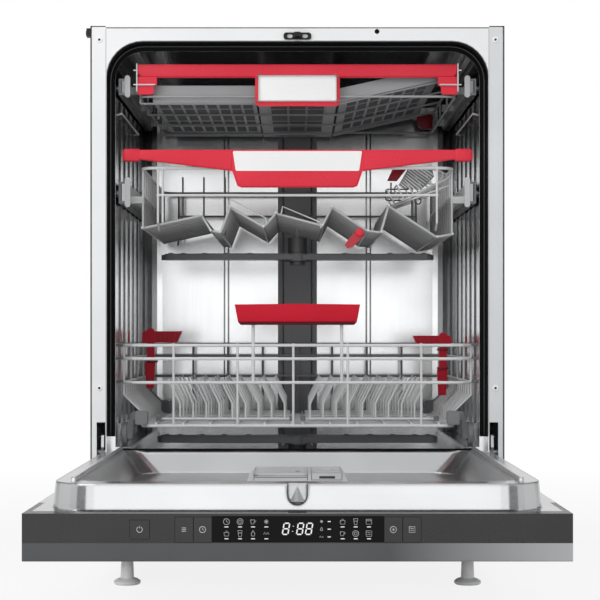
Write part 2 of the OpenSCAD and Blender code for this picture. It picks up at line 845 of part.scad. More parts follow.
// Outline of a key, grown by g
module key_outline(i, g = 0) {
    half = key_ws[i] / 2;
    polygon(rounded(
        key_xs[i] - half - g, strip_face + key_edges[i] - g, key_xs[i] + half + g,
        strip_back - key_edges[i] - 0.6 + g, 0.8 + g, 4
    ));
}

module window_outline() {
    polygon(rounded(
        0.5 - window_w / 2, strip_face + 0.8, 0.5 + window_w / 2, strip_back - 0.6, 0.6, 4
    ));
}

module console_housing() {
    back = strip_back;
    color("dimgray") on_door() difference() {
        union() {
            difference() {
                block([-console_half, strip_face, console_low],
                    [console_half, -door_gap - liner_t, door_top]);
                block([-console_half + 2.5, strip_face + 2.5, console_low - 1],
                    [console_half - 2.5, 0, door_top - strip_wall]);
            }
            difference() {
                block([-console_half, back, console_low], [console_half, -door_gap, door_top]);
                block([-door_half + 6.7, back - 1, console_low - 1],
                    [door_half - 6.7, 0, door_top - 25 + gap]);
                block([-10, back - 1, lock_z - 5.5], [10, 0, lock_z + 5.5]);
            }
        }
        for (i = [0:len(key_xs) - 1]) translate([0, 0, door_top - 9]) linear_extrude(12)
            key_outline(i, 0.35);
        translate([0, 0, door_top - 1.6]) linear_extrude(9) window_outline();
        for (x = [38 - door_half, door_half - 38]) y_cylinder(x, strip_face - 1, strip_face + 4, door_top - 70, 2);
    }
}

module console_trim() {
    color("silver") on_door() difference() {
        along_x(-console_half, console_half) polygon([
            [door_face, band_low], [strip_face, band_low], [strip_face, door_top],
            [door_face + 1.5, door_top], [door_face, door_top - 1.5]
        ]);
        along_x(-console_half + 2, console_half - 2) polygon([
            [door_face + 2, band_low - 1], [strip_face - 2, band_low - 1],
            [strip_face - 2, door_top - 2], [door_face + 2, door_top - 2]
        ]);
    }
}

module display_window() {
    color("black") on_door() translate([0, 0, door_top - 1.6]) linear_extrude(1.6)
        window_outline();
}

module control_board() {
    color("green") on_door() difference() {
        block([-195, strip_face + 2.5, board_top - 1.6], [195, -8, board_top]);
        block([-22, -25.5, board_top - 9], [22, 0, board_top + 9]);
    }
}

// Cap with a foot that catches under the strip's wall
module key(i) {
    half = key_ws[i] / 2 + 0.1;
    foot = board_top + key_travel + gap;
    catch = i == 0 ? 1 : -0.5;
    color("dimgray") on_door() {
        translate([0, 0, foot]) linear_extrude(door_top + 0.6 - foot) key_outline(i);
        block(
            [key_xs[i] - half + 1, strip_face + key_edges[i] - catch, foot],
            [key_xs[i] + half - 1, strip_back - gap, door_top - strip_wall - gap]
        );
    }
}

module power_key() {
    key(0);
}

module program_key() {
    key(1);
}

module delay_key() {
    key(2);
}

module function_key() {
    key(3);
}

module half_load_key() {
    key(4);
}

module door_lock() {
    back = -door_gap - 2;
    color("black") on_door() difference() {
        block([-22, -25, lock_z - 23], [22, back, lock_z + 9.5]);
        block([-8.5, -22, lock_z - 5], [8.5, 0, lock_z + 5]);
    }
}

// ---------- Dispenser ----------

lid_z = dispenser_z + 8;
lid_l = dispenser_h - 14;
flap_z = dispenser_z + 82;

module dispenser_body() {
    half = dispenser_w / 2;
    top = dispenser_z + dispenser_h;
    floor_y = -door_gap - 1;
    color("gainsboro") on_door() {
        difference() {
            translate([0, 0, dispenser_z]) linear_extrude(dispenser_h) polygon([
                [-half, floor_y], [-half, floor_y + 1], [-half + 9, 5], [half - 7, 5],
                [half, floor_y + 1], [half, floor_y]
            ]);
            translate([0, 0, lid_z - gap]) linear_extrude(dispenser_h) polygon([
                [-57.8, 1.7], [13.3, 1.7], [13.3, 3.8], [11, 3.8], [11, 6], [-55.5, 6], [-55.5, 3.8],
                [-57.8, 3.8]
            ]);
            along_y(floor_y - 1, 3) polygon(rounded(-52, lid_z + 14, 8, lid_z + 84, 10, 5));
            block([21.7, 0, flap_z - 30], [56.3, 6, flap_z + 4]);
            y_cylinder(39, -6, 1, flap_z - 13, 9);
            block([27, 1, flap_z - 38], [51, 6, flap_z - 29]);
        }
        difference() {
            block([-half + 3, -30, dispenser_z + 3], [half - 3, floor_y, top - 3]);
            along_y(-28, 3) polygon(rounded(-52, lid_z + 14, 8, lid_z + 84, 10, 5));
            y_cylinder(39, -26, 1, flap_z - 13, 9);
        }
        x_cylinder(21, 57, 2.6, flap_z, 1.2);
    }
}

module detergent_lid() {
    color("whitesmoke") on_door() difference() {
        translate([0, 0, lid_z]) linear_extrude(lid_l - 1) polygon([
            [-57.5, 2], [13, 2], [13, 3.5], [10.7, 3.5], [10.7, 5.2], [-55.2, 5.2],
            [-55.2, 3.5], [-57.5, 3.5]
        ]);
        along_y(4.2, 6) polygon(rounded(-34, lid_z + 72, -4, lid_z + 79, 3, 4));
        for (i = [0:3]) block([-30, 4.4, lid_z + 10 + i * 6], [-6, 6, lid_z + 12 + i * 6]);
    }
}

module rinse_aid_lid() {
    color("whitesmoke") on_door() difference() {
        union() {
            block([22, 2.6, flap_z - 27], [56, 5.2, flap_z]);
            x_cylinder(22, 56, 2.6, flap_z, 2.4);
            block([32, 5, flap_z - 26], [46, 6.4, flap_z - 23.5]);
        }
        x_cylinder(21, 57, 2.6, flap_z, 1.2 + fit);
    }
}

module door_lip_seal() {
    color("black") on_door() along_x(12 - tray_half, tray_half - 12) polygon([
        [-door_gap, tongue_low + 2], [-door_gap, tongue_low + 14], [0, tongue_low + 9],
        [25, tongue_low + 7], [25, tongue_low + 5], [0, tongue_low + 5.5]
    ]);
}

// ---------- Rails ----------

// Front view of a channel opening towards the middle, its web's back at x1
module channel(x0, x1, h) {
    polygon([
        [x0, -h], [x1, -h], [x1, h], [x0, h], [x0, h - rail_sheet],
        [x1 - rail_sheet, h - rail_sheet], [x1 - rail_sheet, -h + rail_sheet],
        [x0, -h + rail_sheet]
    ]);
}

// The outer channel's web stands off the tub wall; the others nest in it
rail_x = tub_half - 3.6;
rail_y0 = rack_front + 6.5;
rail_y1 = rack_back - 10;
rail_heights = [16, 12];
rail_zs = [upper_rail_z, tray_rail_z];

module fixed_rails() {
    color("silver") at_front() both_sides() for (i = [0, 1]) translate([0, 0, rail_zs[i]]) {
        along_y(rail_y0, rail_y1) channel(rail_x - 10.4, rail_x, rail_heights[i]);
        for (y = [rib_y0 - 35, rib_y0 + (rib_count - 1) * rib_pitch + 31])
            x_cylinder(rail_x, tub_half, y, 0, 6);
    }
}

module slide_rails(i) {
    color("silver") at_front() both_sides() translate([0, 0, rail_zs[i]])
        along_y(rail_y0, rail_y1 - 5)
            channel(rail_x - 12.4, rail_x - 2.2, rail_heights[i] - rail_sheet - gap);
}

// Runner on the rack that slides in the middle channel, with brackets to the rack's side
module runners(i, side_x, low) {
    h = rail_heights[i] - 2 * rail_sheet - 2 * gap;
    both_sides() {
        translate([0, 0, rail_zs[i]])
            block([rail_x - 13.4, rail_y0 - gap, -h], [rail_x - 4.6, rail_y1 - 10, h]);
        for (y = [70, (rack_front + rack_back) / 2 - 1.5, rail_y1 - 34.5])
            block([side_x, y - 7, rail_zs[i] + low], [rail_x - 13, y + 7, rail_zs[i] + low + 10]);
    }
}

module rail_caps(i, h) {
    both_sides() along_y(rack_front, rail_y0 - gap)
        polygon(rounded(rail_x - 17.4, rail_zs[i] - h, rail_x - 9.4, rail_zs[i] + h, 3.9, 5));
}

module upper_slide_rails() {
    slide_rails(0);
}

module tray_slide_rails() {
    slide_rails(1);
}

// ---------- Lower rack ----------

basket_half = lower_half - 25.5;
floor_wire_z = lower_z + wire_d / 2 + thin_d / 2 - 0.6;
tine_end = basket_half - 24;
tine_count = floor((tine_end - 34) / tine_pitch) + 1;
row_pitch = (rack_back - rack_front - 136) / 4;
tine_rows = [for (i = [1:4]) rack_front + 51.5 + i * row_pitch];
fold_y = 90;
fold_z = floor_wire_z + thin_d + 1;
last_y = rack_back - 5;

// A tine standing at x and y on a wire at height z, leaning outwards
module tine(x, y, z) {
    wire([[x, y, z], [x, y, lower_z + 31], [x + 17.6 * sign(x), y, lower_z + 67]],
        thin_d, sides = 6);
}

module lower_rack_wires() {
    span = last_y - wire_y;
    color("lightgray") at_front() {
        for (z = [lower_top_z, lower_top_z - 19.8, lower_top_z - 54.8])
            loop(lower_half, wire_y, last_y, z, 30, wire_d);
        loop(basket_half - 2, wire_y, last_y, lower_z, 20, wire_d);
        for (i = [0:11]) {
            y = wire_y + 26 + i * (span - 52) / 11;
            rise = lower_top_z - (i % 3 == 0 ? 0 : 54.8);
            side = [
                [lower_half, rise], [lower_half, lower_z + 45], [basket_half, lower_z + 20],
                [basket_half, lower_z + 6], [basket_half - 6, lower_z]
            ];
            wire([for (p = mirrored(side)) [p.x, y, p.y]], thin_d, sides = 6);
        }
        for (x = [-182, -88, -6, 74, 182])
            rod([x, wire_y, lower_z - 2], [x, wire_y, lower_top_z + 3], wire_d - 1);
        for (x = [-180:60:180])
            rod([x, last_y, lower_z - 2], [x, last_y, lower_top_z], wire_d - 1);
        for (s = [-1, 1], i = [0:5]) {
            x = s * (8 + i * (tine_end - 8) / 5);
            rod([x, wire_y, floor_wire_z], [x, last_y, floor_wire_z], thin_d, sides = 6);
        }
        for (x = [-65, 65])
            rod([x, wire_y, lower_top_z - 56], [x, wire_y, lower_top_z + 48], wire_d);
        for (y = tine_rows, s = [-1, 1]) {
            rod([s * 12, y, floor_wire_z + 2.6], [s * (tine_end - 4), y, floor_wire_z + 2.6],
                thin_d, sides = 6);
            for (i = [0:tine_count - 1]) tine(s * (19 + i * tine_pitch), y, floor_wire_z + 2.6);
        }
    }
}

// Front view of the lower handle, drawn in by g
module lower_grip(g = 0) {
    z = lower_top_z + 30;
    polygon(mirrored([
        [0, z + g], [83 - g, z + g], [87 - g / 2, z + 4 + g / 2], [92 - g, z + 30 - g], [0, z + 31 - g]
    ]));
}

module lower_rack_handle() {
    color("red") at_front() difference() {
        along_y(rack_front, wire_y + 12) lower_grip();
        along_y(wire_y - wire_d / 2 + 3, wire_y + 13) lower_grip(3);
        for (x = [-65, 65])
            rod([x, wire_y, lower_top_z + 20], [x, wire_y, lower_top_z + 48], wire_d);
        block([-60, rack_front + 12, lower_top_z + 20], [60, wire_y + 13, lower_top_z + 34]);
    }
}

// Red clip with a bar and a stem, from bar height z down to the low end
module rest_clip(x, bar_end, z, low) {
    y = 250;
    side = sign(x);
    color("red") {
        along_y(y - 9, y + 9) polygon([
            [x + 13 * side, z], [x + 13 * side, z + 16], [x + 8 * side, z + 18], [bar_end, z + 18],
            [bar_end + 8 * side, z]
        ]);
        along_y(y - 6, y + 6) polygon([
            [x - 6, z + 1], [x - 6, low + 42], [x - 9, low + 40], [x - 7, low], [x + 5, low],
            [x + 7, low + 40], [x + 6, low + 42], [x + 6, z + 1]
        ]);
        y_cylinder(x, y - 10, y + 10, z + 16, 7);
    }
}

module lower_rack_fittings() {
    foot_z = lower_z + wire_d / 2;
    pin_end = wheel_x + wheel_w / 2 + gap + 1.5;
    at_front() {
        rest_clip(-basket_half - 2, 48 - basket_half, lower_top_z + 3.5, lower_top_z - 69.5);
        rest_clip(basket_half, basket_half - 48, lower_top_z - 3.5, lower_top_z - 80.5);
        color("gray") both_sides() {
            for (y = [wire_y - wire_d / 2 - 3, last_y - 10])
                along_y(y, y + 16) polygon(rounded(
                    basket_half - 12, lower_z + 2.2, basket_half + 6, lower_z + 22, 3, 3
                ));
            for (y = wheel_ys) {
                along_y(y - 14, y + 14) polygon([
                    [basket_half + 1.5, lower_z + 8], [basket_half + 1.5, lower_z + 20],
                    [basket_half + 13, lower_z + 20], [wheel_x - wheel_w / 2 - gap, wheel_z + 12],
                    [wheel_x - wheel_w / 2 - gap, wheel_z - 7], [wheel_x - 12, wheel_z - 7],
                    [wheel_x - 14, lower_z + 8]
                ]);
                x_cylinder(wheel_x - 8, pin_end, y, wheel_z, wheel_pin_r);
                x_cylinder(pin_end - 1.5, pin_end, y, wheel_z, wheel_pin_r + 3);
            }
        }
        color("gray") for (s = [-1, 1], x = [8, tine_end]) difference() {
            block([s * x - 4, fold_y - 4, floor_wire_z + thin_d / 2 - 0.1],
                [s * x + 4, fold_y + 4, fold_z + 4]);
            x_cylinder(s * x - 5, s * x + 5, fold_y, fold_z, thin_d / 2 + fit);
        }
    }
}

module folding_tines(s) {
    color("lightgray") at_front() {
        x_cylinder(
            s > 0 ? 4 : -tine_end - 4, s > 0 ? tine_end + 4 : -4, fold_y, fold_z, thin_d / 2
        );
        for (i = [0:tine_count - 1]) tine(s * (19 + i * tine_pitch), fold_y, fold_z);
    }
}

module left_folding_tines() {
    folding_tines(-1);
}

module right_folding_tines() {
    folding_tines(1);
}

module wheels(y) {
    x0 = wheel_x - wheel_w / 2;
    x1 = wheel_x + wheel_w / 2;
    color("gray") at_front() both_sides() translate([0, y, wheel_z]) rotate([0, 90, 0])
        rotate_extrude($fn = 64) polygon([
            [wheel_pin_r + fit, x0], [wheel_pin_r + 4, x0], [wheel_pin_r + 4, x0 + 2],
            [wheel_r - 4, x0 + 2], [wheel_r - 4, x0], [wheel_r - 0.8, x0], [wheel_r, x0 + 0.8],
            [wheel_r, x1 - 0.8], [wheel_r - 0.8, x1], [wheel_r - 4, x1], [wheel_r - 4, x1 - 2],
            [wheel_pin_r + 4, x1 - 2], [wheel_pin_r + 4, x1], [wheel_pin_r + fit, x1]
        ]);
}

module front_wheels() {
    wheels(wheel_ys[0]);
}

module rear_wheels() {
    wheels(wheel_ys[1]);
}

// ---------- Spray arms ----------

// Plan of a two-bladed arm of length r, its blades swept back, drawn in by g
module arm_plan(r, g = 0) {
    for (a = [0, 180]) rotate(a) polygon(concat(
        [[-8, g - 20], [8, g - 20], [r * 0.55, g - 12]],
        arc([r - 13, -2], 13 - g, -84, 84, 8),
        [[r * 0.55, 23 - g], [8, 22 - g], [-8, 20 - g]]
    ));
}

// Spray arm on a pin of radius pin_r, its underside at z
module spray_arm(r, z, h, pin_r) {
    difference() {
        union() {
            translate([0, 0, z + 2]) linear_extrude(h - 4) arm_plan(r);
            translate([0, 0, z + 3]) linear_extrude(h - 3) arm_plan(r, 5);
            translate([0, 0, z]) cylinder(r = 22, h = h, $fn = 48);
            for (x = [0.35, 0.52, 0.68, 0.84, 0.93], a = [0, 180]) rotate(a)
                translate([r * x, 3 - 5 * x, z + h - 1]) cylinder(r = 4, h = 2.5, $fn = 16);
        }
        translate([0, 0, z - 1]) cylinder(r = pin_r + fit, h = h + 0.01, $fn = 48);
    }
}

module lower_spray_arm() {
    color("dimgray") at_front() translate([0, arm_y, 0])
        spray_arm(lower_arm_r, lower_arm_z, arm_h + 2, spray_hub_r);
}

module upper_spray_arm() {
    color("dimgray") at_front() translate([0, arm_y, 0]) difference() {
        spray_arm(upper_arm_r, upper_arm_z, arm_h, spray_hub_r);
        translate([0, 0, upper_arm_z]) cylinder(r = spray_hub_r + fit, h = 40, $fn = 48);
    }
}

// ---------- Upper rack ----------

handle_top = upper_top_z + 26;

// Right-hand end of a section across the upper rack's cup shelves and troughs
function trough_section(x, z) = [
    for (p = [
        [-229, 0], [-229, -87], [-142, -68], [-128, -91], [-114, -93], [-100, -56], [-50, -85],
        [-32, -65], [37, -83], [51, -56], [104, -91], [124, -93], [135, -54], [206, -100],
        [229, -96], [229, 0]
    ]) [p.x * x / 229, z + p.y]
];

module upper_rack_wires() {
    section = trough_section(upper_half, upper_top_z);
    span = last_y - wire_y;
    mid_z = upper_top_z - 40;
    post_x = upper_half - 24;
    rest_x = upper_half - 96;
    rest_ys = [for (i = [1, 3]) wire_y + 22 + i * (span - 44) / 11];
    color("lightgray") at_front() {
        loop(upper_half, wire_y, last_y, upper_top_z, 20, wire_d);
        for (i = [0:11]) {
            y = wire_y + 22 + i * (span - 44) / 11;
            wire([for (p = section) [p.x, y, p.y]], thin_d, sides = 6);
        }
        for (i = [1:len(section) - 2]) {
            rod([section[i].x, wire_y + 6, section[i].y], [section[i].x, last_y - 6, section[i].y],
                thin_d, sides = 6);
        }
        both_sides() rod([upper_half, wire_y + 20, mid_z], [upper_half, last_y - 20, mid_z], thin_d);
        for (y = [wire_y, last_y]) {
            rod([22 - upper_half, y, mid_z], [upper_half - 22, y, mid_z], wire_d - 1);
            for (x = [-post_x, 7 - post_x, post_x])
                rod([x, y, upper_top_z - 80], [x, y, upper_top_z], thin_d);
        }
        both_sides() for (y = [wire_y, last_y])
            rod([post_x, y, upper_top_z - 80],
                [post_x, y + 22 * sign(200 - y), upper_top_z - 90], thin_d);
        runners(0, upper_half - 1, -14);
        for (y = [wire_y + 22 + 6 * (span - 44) / 11, wire_y + 22 + 9 * (span - 44) / 11])
            rod([0, y, upper_arm_z + 38], [0, y, upper_top_z - 73], 6);
        for (y = rest_ys, z = [0, 1])
            rod([rest_x, y, upper_top_z - 56], [upper_half, y, upper_top_z - 12 * z - 8], thin_d, sides = 6);
        for (i = [1:5]) {
            x = rest_x + i * 14;
            z = upper_top_z - 56 + i * 7;
            wire([
                [x, rest_ys[0], z], [x - 12, rest_ys[0], z + 22],
                [x - 12, rest_ys[1], z + 22], [x, rest_ys[1], z]
            ], thin_d - 1, sides = 6);
        }
    }
}

module upper_grip(g = 0) {
    half = upper_half + 27.5;
    polygon(mirrored([
        [0, handle_top - 55 + g], [82 - g, handle_top - 55 + g],
        [88 - g, handle_top - 52.5 + g], [90 - g, handle_top - 47],
        [95.5 - g, handle_top - 31 + g], [half - 25, handle_top - 14 + g],
        [half - g, handle_top - 14 + g], [half - g, handle_top - 2 - g],
        [half - 2 - g, handle_top - g], [0, handle_top - g]
    ]));
}

module upper_rack_handle() {
    color("red") at_front() difference() {
        along_y(rack_front, wire_y - wire_d / 2) upper_grip();
        along_y(rack_front + 2.4, wire_y) upper_grip(2.5);
    }
    color("red") at_front() block([-80, rack_front + 2, handle_top - 2.5], [80, wire_y + 12, handle_top]);
}

module upper_rack_plate() {
    color("white") at_front() along_y(rack_front - 0.8, rack_front) polygon(mirrored([
        [0, handle_top - 31], [89, handle_top - 31], [90.5, handle_top - 30],
        [94.5, handle_top - 3], [93, handle_top - 2], [0, handle_top - 2]
    ]));
}

module upper_rack_fittings() {
    tube_z = upper_arm_z + 30;
    at_front() {
        color("dimgray") {
            difference() {
                union() {
                    y_cylinder(0, arm_y, rack_back - 1, tube_z, 8);
                    y_cylinder(0, rack_back - 16, rack_back - 1, tube_z, 13);
                    translate([0, arm_y, upper_arm_z + arm_h + 1]) cylinder(r = 16, h = 24, $fn = 48);
                }
                y_cylinder(0, arm_y, rack_back, tube_z, 6);
            }
            translate([0, arm_y, upper_arm_z - gap]) cylinder(r = spray_hub_r, h = 16, $fn = 48);
            translate([0, arm_y, upper_arm_z - 6]) cylinder(r = 13, h = 6 - gap, $fn = 48);
        }
        color("gainsboro") rail_caps(0, 22);
        color("red") {
            x = trough_section(upper_half, upper_top_z)[10].x;
            z = upper_top_z - 117;
            along_y(wire_y + 18, wire_y + 26) polygon([
                [x - 4, z + 20], [x - 10, z + 28], [x - 18, z + 26],
                [x - 34, z + 6], [x - 30, z], [x - 22, z + 2]
            ]);
        }
    }
}

// ---------- Cutlery tray ----------

// Open compartment w wide and h high, with a slotted floor, its left edge at x 0
module compartment(w, y0, y1, h, pitch) {
    count = floor((w - 8) / pitch);
    rows = floor((y1 - y0 - 8) / 68);
    inset = (w - count * pitch) / 2;
    linear_extrude(2.2) difference() {
        translate([1, y0 + 1]) square([w - 2, y1 - y0 - 2]);
        for (i = [0:count - 1], j = [0:rows - 1])
            translate([inset + i * pitch + 2, y0 + 7 + j * 68]) square([pitch - 4, 62]);
    }
    translate([0, 0, -0.4]) linear_extrude(h) difference() {
        translate([0, y0]) square([w, y1 - y0]);
        translate([2, y0 + 2]) square([w - 4, y1 - y0 - 4]);
    }
}

module cutlery_tray() {
    y0 = wire_y + 10;
    y1 = last_y - 6;
    x = tray_rack_half;
    color("gray") at_front() {
        for (z = [tray_z + 7, tray_z + 36]) loop(x, wire_y, last_y, z, 12, wire_d - 1);
        for (y = [wire_y + 14:120:last_y - 10]) {
            both_sides() rod([x, y, tray_z + 4], [x, y, tray_z + 38], thin_d);
            rod([-x, y, tray_z - 1.5], [64, y, tray_z - 1.5], thin_d, sides = 6);
            rod([-x, y, tray_z - 1.5], [-x, y, tray_z + 9], thin_d, sides = 6);
            rod([62, y, tray_z - 1.5], [x, y, tray_z + 36], thin_d, sides = 6);
        }
        runners(1, x - 1, -7);
        rail_caps(1, 16);
        // deep compartment, knife channel and sloping compartment
        translate([19 - x, 0, tray_z]) compartment(x - 80, y0, y1, 25, 18);
        translate([-58, 0, tray_z - 0.5]) compartment(116, y0, y1, 9, 28);
        translate([62, 0, tray_z + 0.5]) rotate([0, -12.5, 0])
            compartment(x - 84, y0, y1, 20, 18);
    }
}

module tray_handle() {
    top = tray_z + 53;
    back = wire_y - (wire_d - 1) / 2;
    x = tray_rack_half;
    color("red") at_front() {
        difference() {
            along_y(rack_front, back) union() {
                polygon(mirrored([
                    [0, top - 19], [x - 5, top - 19], [x + 3, top - 13], [x + 3, top - 1],
                    [x + 2, top], [0, top]
                ]));
                polygon(rounded(-62, tray_z - 8, 62, tray_z + 40, 7, 5));
                both_sides() polygon([
                    [x + 2, tray_z + 9], [x + 2, top - 18], [x - 26, top - 18], [x - 26, tray_z + 23],
                    [x - 22, tray_z + 22], [x - 21, tray_z + 11], [x - 19, tray_z + 9]
                ]);
            }
            along_y(rack_front + 2.4, back + 1) union() {
                polygon(mirrored([[0, top - 17], [x - 6, top - 17], [x, top - 12], [x, top - 2], [0, top - 2]]));
                polygon(rounded(-60, tray_z - 6, 60, tray_z + 38, 5, 5));
            }
        }
        along_y(rack_front - 0.8, rack_front) polygon(rounded(-57, tray_z - 1, 57, tray_z + 36, 4, 5));
    }
}

base_pan();
levelling_feet();
left_side_panel();
right_side_panel();
top_crossbar();
top_cover();
rear_panel();
tub();
tub_gasket();
door_catch();
side_buffer();
panel_screws();
hinge_brackets();
hinge_springs();
feed_duct();
ceiling_shower();
sump();
fine_filter();
coarse_filter();
salt_cap();
circulation_pump();
drain_pump();
inlet_valve();
drain_outlet();
water_softener();
fixed_rails();
door_outer_panel();
door_liner();
console_housing();
console_trim();
display_window();
control_board();
power_key();
program_key();
delay_key();
function_key();
half_load_key();
dispenser_body();
detergent_lid();
rinse_aid_lid();
door_lock();
hinge_arms();
door_lip_seal();
lower_rack_wires();
lower_rack_handle();
lower_rack_fittings();
left_folding_tines();
right_folding_tines();
front_wheels();
rear_wheels();
lower_spray_arm();
upper_rack_wires();
upper_rack_handle();
upper_rack_plate();
upper_rack_fittings();
upper_spray_arm();
upper_slide_rails();
cutlery_tray();
tray_handle();
tray_slide_rails();
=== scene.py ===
# %% [markdown]
# # A built-in dishwasher with its door open
# The solids of the machine come in as a fixed frame. This script gives each of them the finish of
# the real material and adds the fine pieces that solids leave out: printed marks, mesh, thin
# wires and trim.

import math

import bpy
from mathutils import Matrix, Vector


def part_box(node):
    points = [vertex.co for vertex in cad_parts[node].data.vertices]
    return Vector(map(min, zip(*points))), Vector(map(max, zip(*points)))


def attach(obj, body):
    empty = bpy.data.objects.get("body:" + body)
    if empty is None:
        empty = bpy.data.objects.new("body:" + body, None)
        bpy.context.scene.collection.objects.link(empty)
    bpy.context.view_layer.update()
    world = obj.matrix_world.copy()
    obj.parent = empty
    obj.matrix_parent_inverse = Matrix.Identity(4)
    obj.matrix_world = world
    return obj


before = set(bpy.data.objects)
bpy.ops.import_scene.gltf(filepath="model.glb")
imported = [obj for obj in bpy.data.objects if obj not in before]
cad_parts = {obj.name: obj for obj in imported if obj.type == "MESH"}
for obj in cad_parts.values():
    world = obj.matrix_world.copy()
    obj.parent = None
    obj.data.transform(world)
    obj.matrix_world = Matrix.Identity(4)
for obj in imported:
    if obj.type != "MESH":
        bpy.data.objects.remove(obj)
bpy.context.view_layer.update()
MM = 0.001
METRE = 1000  # in mm

# %% [markdown]
# Colours are written as the hex values of a colour card. Blender's shaders work in linear light,
# so one function turns each hex value into that, with the curve of the sRGB standard. A second
# function adds a shader node with its settings and links in one line, which keeps the materials
# readable.


# %% Colour and node helpers
def linear(hex_colour):
    """Turns a hex colour into linear red, green and blue, with a full alpha."""
    channels = [int(hex_colour[i : i + 2], 16) / 255 for i in (0, 2, 4)]
    return (*(c / 12.92 if c <= 0.04045 else ((c + 0.055) / 1.055) ** 2.4 for c in channels), 1.0)


def add(tree, kind, settings=None, **inputs):
    """Adds a node; an input named i0, i1 is found by number, and a socket is linked."""
    node = tree.nodes.new(kind)
    for name, value in (settings or {}).items():
        setattr(node, name, value)
    for name, value in inputs.items():
        key = int(name[1:]) if name[0] == "i" and name[1:].isdigit() else name.replace("_", " ")
        if isinstance(value, bpy.types.NodeSocket):
            tree.links.new(value, node.inputs[key])
        else:
            node.inputs[key].default_value = value
    return node


# %% [markdown]
# One function builds a finish, because every one of them is made of the same three things: a slow
# drift of colour, a fine grain that breaks up the shine, and a very shallow relief from the same
# grain. What differs is the size of the grain in millimetres along each axis, its depth, and
# whether the material is a metal. Two more things are there for the solids that need them. Where
# a solid holds several mouldings, other colours take over beyond a limit. Where a sheet is
# pressed, a Bevel node rounds the shading of its bends, which the solid has as sharp corners.

# %% A finish from grain and drift
SHARP = 0.1  # mm, the border between two mouldings


def surface(
    name, low, high, rough, grain_mm, depth_mm, swing=0.05, drift_mm=120, metal=0.0, specular=0.5,
    beyond=(), bend_mm=0,
):
    """Makes a material whose colour drifts from low to high and whose roughness swings round rough.

    beyond lists (axis, limit in mm, mirrored, low, high, fade in mm): past the limit, or on both
    sides where it is mirrored, those colours take over. bend_mm is the radius of a sheet's bends.
    """
    material = bpy.data.materials.new(name)
    material.use_nodes = True
    tree = material.node_tree
    tree.nodes.clear()
    place = add(tree, "ShaderNodeTexCoord").outputs["Object"]
    drift = add(tree, "ShaderNodeTexNoise", Vector=place, Scale=METRE / drift_mm, Detail=2.0)
    tone = add(
        tree, "ShaderNodeMapRange", Value=drift.outputs[0], From_Min=0.35, From_Max=0.65
    ).outputs[0]
    stretch = add(tree, "ShaderNodeMapping", Vector=place, Scale=[METRE / g for g in grain_mm])
    grain = add(
        tree, "ShaderNodeTexNoise", Vector=stretch.outputs[0], Scale=1.0, Detail=2.0
    ).outputs[0]
    rgba = {"data_type": "RGBA"}
    colour = add(
        tree, "ShaderNodeMix", rgba, i0=tone, i6=linear(low), i7=linear(high)
    ).outputs[2]
    for axis, limit, mirrored, far_low, far_high, fade in beyond:
        value = add(tree, "ShaderNodeSeparateXYZ", Vector=place).outputs[axis]
        if mirrored:
            value = add(tree, "ShaderNodeMath", {"operation": "ABSOLUTE"}, i0=value).outputs[0]
        end = (limit + fade) * MM
        past = add(tree, "ShaderNodeMapRange", Value=value, From_Min=limit * MM, From_Max=end)
        far = add(tree, "ShaderNodeMix", rgba, i0=tone, i6=linear(far_low), i7=linear(far_high))
        colour = add(
            tree, "ShaderNodeMix", rgba, i0=past.outputs[0], i6=colour, i7=far.outputs[2]
        ).outputs[2]
    shine = add(
        tree, "ShaderNodeMapRange", Value=grain, From_Min=0.3, From_Max=0.7,
        To_Min=rough - swing, To_Max=rough + swing,
    )
    relief = add(tree, "ShaderNodeBump", Height=grain, Distance=depth_mm * MM, Strength=0.5)
    if bend_mm:
        bend = add(tree, "ShaderNodeBevel", {"samples": 8}, Radius=bend_mm * MM)
        tree.links.new(bend.outputs[0], relief.inputs["Normal"])
    shader = add(
        tree, "ShaderNodeBsdfPrincipled", Base_Color=colour, Roughness=shine.outputs[0],
        Normal=relief.outputs[0], Metallic=metal, Specular_IOR_Level=specular,
    )
    add(tree, "ShaderNodeOutputMaterial", Surface=shader.outputs[0])
    print("finish:", name)
    return material


# %% [markdown]
# ## Stainless and plated steel
# The tub and the door's inner sheet are pressed from ferritic stainless sheet with a fine ground
# finish. The grinding lines run one way, so the grain is stretched along them. The real lines are
# about 0.05 mm apart; they are drawn about 1 mm wide, so that they show. Little light gets past
# the trays to the upper part of the tub, so from 650 mm up its colour is painted darker, as shade.
# The door's sheet is bent with a radius of 4 mm. Rails are rolled bright, but their colour is
# painted darker, as the shade that their sides stand in. Brackets are zinc plated and springs are
# oiled black.

# %% Metals
ACROSS, UPRIGHT, INWARD = (160, 1, 1), (1, 1, 160), (1, 160, 1)
# Painted shade: from 650 mm up the tub is drawn darker.
stainless_tub = surface(
    "ground_stainless_tub", "d0d1d2", "dadbdc", 0.20, UPRIGHT, 0.001, 0.03, metal=1.0,
    beyond=[("Z", 650, False, "7c7d7e", "868788", 80)],
)
stainless_door = surface(
    "ground_stainless_door", "c0c1c2", "c8c9ca", 0.24, ACROSS, 0.001, 0.03, metal=1.0, bend_mm=4
)
# The rails' colour is painted darker, as the shade that their sides stand in.
rail_steel = surface("rolled_rail_steel", "5c5d5e", "6c6d6e", 0.30, INWARD, 0.004, metal=1.0)
zinc_steel = surface("zinc_plated_steel", "9fa1a4", "b9bbbe", 0.34, (3, 3, 3), 0.006, metal=1.0)
filter_steel = surface("filter_steel", "8d8e90", "a3a4a6", 0.35, ACROSS, 0.004, metal=1.0)
spring_steel = surface("oiled_spring_steel", "4c4d50", "5f6063", 0.30, (2, 2, 2), 0.006, metal=1.0)
panel_steel = surface("plain_door_sheet", "929496", "989a9c", 0.40, ACROSS, 0.004, metal=1.0)
galvanised = surface(
    "galvanised_sheet", "b2b5b7", "c2c5c7", 0.42, (9, 9, 9), 0.004, metal=1.0, drift_mm=30
)

